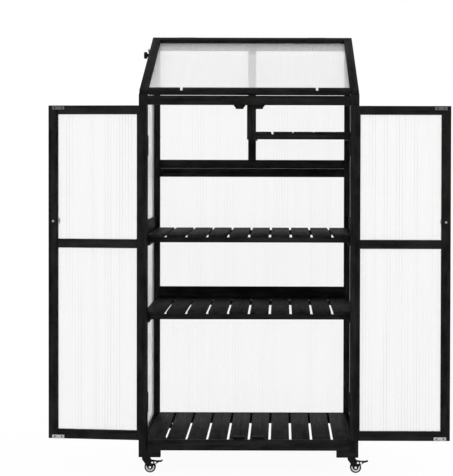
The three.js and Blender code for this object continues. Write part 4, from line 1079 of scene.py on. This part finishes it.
def fork(place, braked):
    leg = [(-FORK_HALF, LEG_TOP), (-FORK_HALF, 47.5)] + arc(WHEEL_X, AXLE_Z, 7, -150, 0)
    if braked:
        leg += arc(PEDAL_X, PEDAL_Z, LUG, -90, 60) + [(19, 43.2)]
    leg.append((FORK_HALF, LEG_TOP))
    parts = [punched(leg, side * LEG_Y, LEG_THICK, place) for side in (-1, 1)]
    low, high = CROWN_Z
    crown = [(-FORK_HALF, low), (FORK_HALF, low), (FORK_HALF, high), (-FORK_HALF, high)]
    parts.append(punched(crown, 0, CROWN_WIDE, place, 0.3))
    parts.append(turned(RACE, place, steps=36))
    return gather(parts)


def cross_pin(place, radius, x, z):
    profile = [(0, -LEG_FACE), (radius, -LEG_FACE), (radius, LEG_FACE), (0, LEG_FACE)]
    return turned(profile, along_y(place, x, z))


def fork_rivets(place, braked):
    """The axle bolt and, on a braked fork, two bright rivets on each leg."""
    parts = []
    for side in (-1, 1):
        way = place.to_3x3() @ Vector((0, side, 0))
        heads = [(AXLE_HEAD, 20, WHEEL_X, AXLE_Z)]
        if braked:
            heads += [(DOME, 16, x, z) for x, z in RIVETS]
        for profile, steps, x, z in heads:
            at = place @ Vector((x * MM, side * LEG_FACE * MM, z * MM))
            parts.append(turned(profile, facing(way, at), steps=steps))
    parts.append(cross_pin(place, 2.9, WHEEL_X, AXLE_Z))
    if braked:
        parts.append(cross_pin(place, 1.5, PEDAL_X, PEDAL_Z))
    return gather(parts)


# %% Wheels
TREAD = [
    (15.6, -7), (17, -7), (18.6, -6.7), (19.6, -5.8), (20, -4.4), (20, 4.4), (19.6, 5.8),
    (18.6, 6.7), (17, 7), (15.6, 7), (15.6, 4.6), (15.6, -4.6),
]
HALF_HUB = [(3.5, 8), (7, 8), (7.8, 7.4), (8, 6), (8.6, 4.8), (9.8, 4.5)]
HALF_TRIM = [(9.8, 4.2), (10.0, 5.4), (10.8, 6.3), (12.7, 6.8), (14.6, 6.3), (15.6, 5.2)]


def wheel_ring(profile, place):
    return turned(profile, along_y(place, WHEEL_X, AXLE_Z), steps=48, ring=True)


def both_sides(half):
    """A profile that is the same on both sides of the wheel."""
    return half + [(r, -h) for r, h in reversed(half)]


# %% Brake pedals
PEDAL_LONG, PEDAL_WIDE = 26, 15
RIB_COUNT, RIB_STEP, RIB_WIDE = 4, 3.6, 12


def pedal(place):
    top, tip = PEDAL_Z + LUG, PEDAL_X + PEDAL_LONG
    outline = [
        (PEDAL_X - LUG, top), (PEDAL_X - LUG, PEDAL_Z), (PEDAL_X - 1.35, PEDAL_Z - LUG),
        (PEDAL_X, PEDAL_Z - 6.5), (PEDAL_X + 2.7, PEDAL_Z - 6.5), (PEDAL_X + 12, top - 4.6),
        (tip - 5.4, top - 3.6), (tip, top), (tip - 2.7, top + 2.7), (tip - 8.1, top),
    ]
    parts = [punched(outline, 0, PEDAL_WIDE, place, 0.6)]
    for i in range(RIB_COUNT):
        x = PEDAL_X + 3 + RIB_STEP * i
        rib = [(x, top - 0.4), (x + 1.4, top - 0.4), (x + 1.1, top + 0.5), (x + 0.3, top + 0.5)]
        parts.append(punched(rib, 0, RIB_WIDE, place, 0.15))
    return gather(parts)


# %% Four casters
for row, depth in CASTERS.items():
    braked = row == "front"
    for name, side in SIDES:
        which = f"{row}_{name}"
        place = Matrix.Translation(spot(side * (HALF - CASTER_IN), depth, 0))
        node, body = f"caster_fork_{which}", f"fork_{which}"
        piece(f"{node}_pressed", fork(place, braked), coated, body, [node])
        piece(f"{node}_rivets", fork_rivets(place, braked), bright, body)
        node, body = f"caster_wheel_{which}", f"wheel_{which}"
        tread, core = wheel_ring(TREAD, place), wheel_ring(both_sides(HALF_HUB), place)
        piece(f"{node}_tread", tread, tyre, body, [node])
        piece(f"{node}_hub", core, hub_with_painted_shade, body)
        rim = wheel_ring(both_sides(HALF_TRIM), place)
        piece(f"{node}_trim", rim, trim, body)
        if braked:
            node, body = f"brake_pedal_{which}", f"pedal_{which}"
            piece(f"{node}_moulded", pedal(place), plastic, body, [node])
print(len(CASTERS) * len(SIDES), "casters")

# %% [markdown]
# ## Floor
# The object stands on a white floor in even white light. A lit floor could be made with lamps, but they
# would light the cabinet too. So the floor itself glows for the camera and for the rays that a mirror or
# a sheet sends on. It melts into the background and keeps only a breath of shadow.

# %% Floor
FLOOR_SIZE, GLOW = 30, 0.95


def ground():
    bm = bmesh.new()
    bmesh.ops.create_grid(bm, x_segments=1, y_segments=1, size=FLOOR_SIZE)
    mesh = bpy.data.meshes.new("floor")
    bm.to_mesh(mesh)
    bm.free()
    obj = bpy.data.objects.new("floor", mesh)
    bpy.context.scene.collection.objects.link(obj)
    return obj


def pale_floor():
    f = Finish("pale_floor", Roughness=0.9, Specular_IOR_Level=0.0)
    f.set(Base_Color=f.blend(f.noise(f.place(), 3.0), grey(0.985), grey(1.0)))
    glow = f.node("Emission", {}, {"Color": grey(1.0), "Strength": 1.0})
    seen = f.node("LightPath", {}, out="Is Camera Ray")
    for ray in ("Is Glossy Ray", "Is Transmission Ray"):
        passed = f.node("LightPath", {}, out=ray)
        seen = f.node("Math", {"operation": "MAXIMUM"}, {0: seen, 1: passed})
    mix = f.node("MixShader", {}, {0: seen * GLOW, 2: glow})
    f.tree.links.new(f.shader.outputs[0], mix.socket.node.inputs[1])
    f.feed(f.output.inputs["Surface"], mix)
    return f.material


floor = ground()
floor.data.materials.append(pale_floor())
print("floor", [round(d) for d in floor.dimensions[:2]], "m")

# %% [markdown]
# ## Light and camera
# The light is an even white world, as in a photo tent. The camera looks level at the upper third of the
# cabinet from more than five metres away, so upright lines stay nearly upright. Its shift moves the
# picture like the lens of a view camera, which a turn of the camera would not do without leaning lines.

# %% Light
scene = bpy.context.scene
world = bpy.data.worlds.new("white_room")
world.use_nodes = True
sky = world.node_tree.nodes["Background"]
sky.inputs["Color"].default_value = (1, 1, 1, 1)
sky.inputs["Strength"].default_value = 1.0
scene.world = world
print("world", world.name)

# %% Camera
CAMERA_X, CAMERA_DEPTH, CAMERA_Z = 112.1, -5234.0, 1130.3
CAMERA_DIP, CAMERA_ROLL = 1.075, 0.136  # degrees below level and round the line of sight
camera_data = bpy.data.cameras.new("camera")
camera = bpy.data.objects.new("camera", camera_data)
scene.collection.objects.link(camera)
camera_data.lens = 113.15
camera_data.sensor_width = 36
camera_data.shift_x = -0.1145
camera_data.shift_y = -0.12
camera_data.clip_end = 100
pitch = Matrix.Rotation(math.radians(90 - CAMERA_DIP), 4, "X")
roll = Matrix.Rotation(math.radians(CAMERA_ROLL), 4, "Z")
camera.matrix_world = Matrix.Translation(spot(CAMERA_X, CAMERA_DEPTH, CAMERA_Z)) @ pitch @ roll
scene.camera = camera
scene.view_settings.view_transform = "Standard"
print("camera at", [round(v, 2) for v in camera.matrix_world.translation])
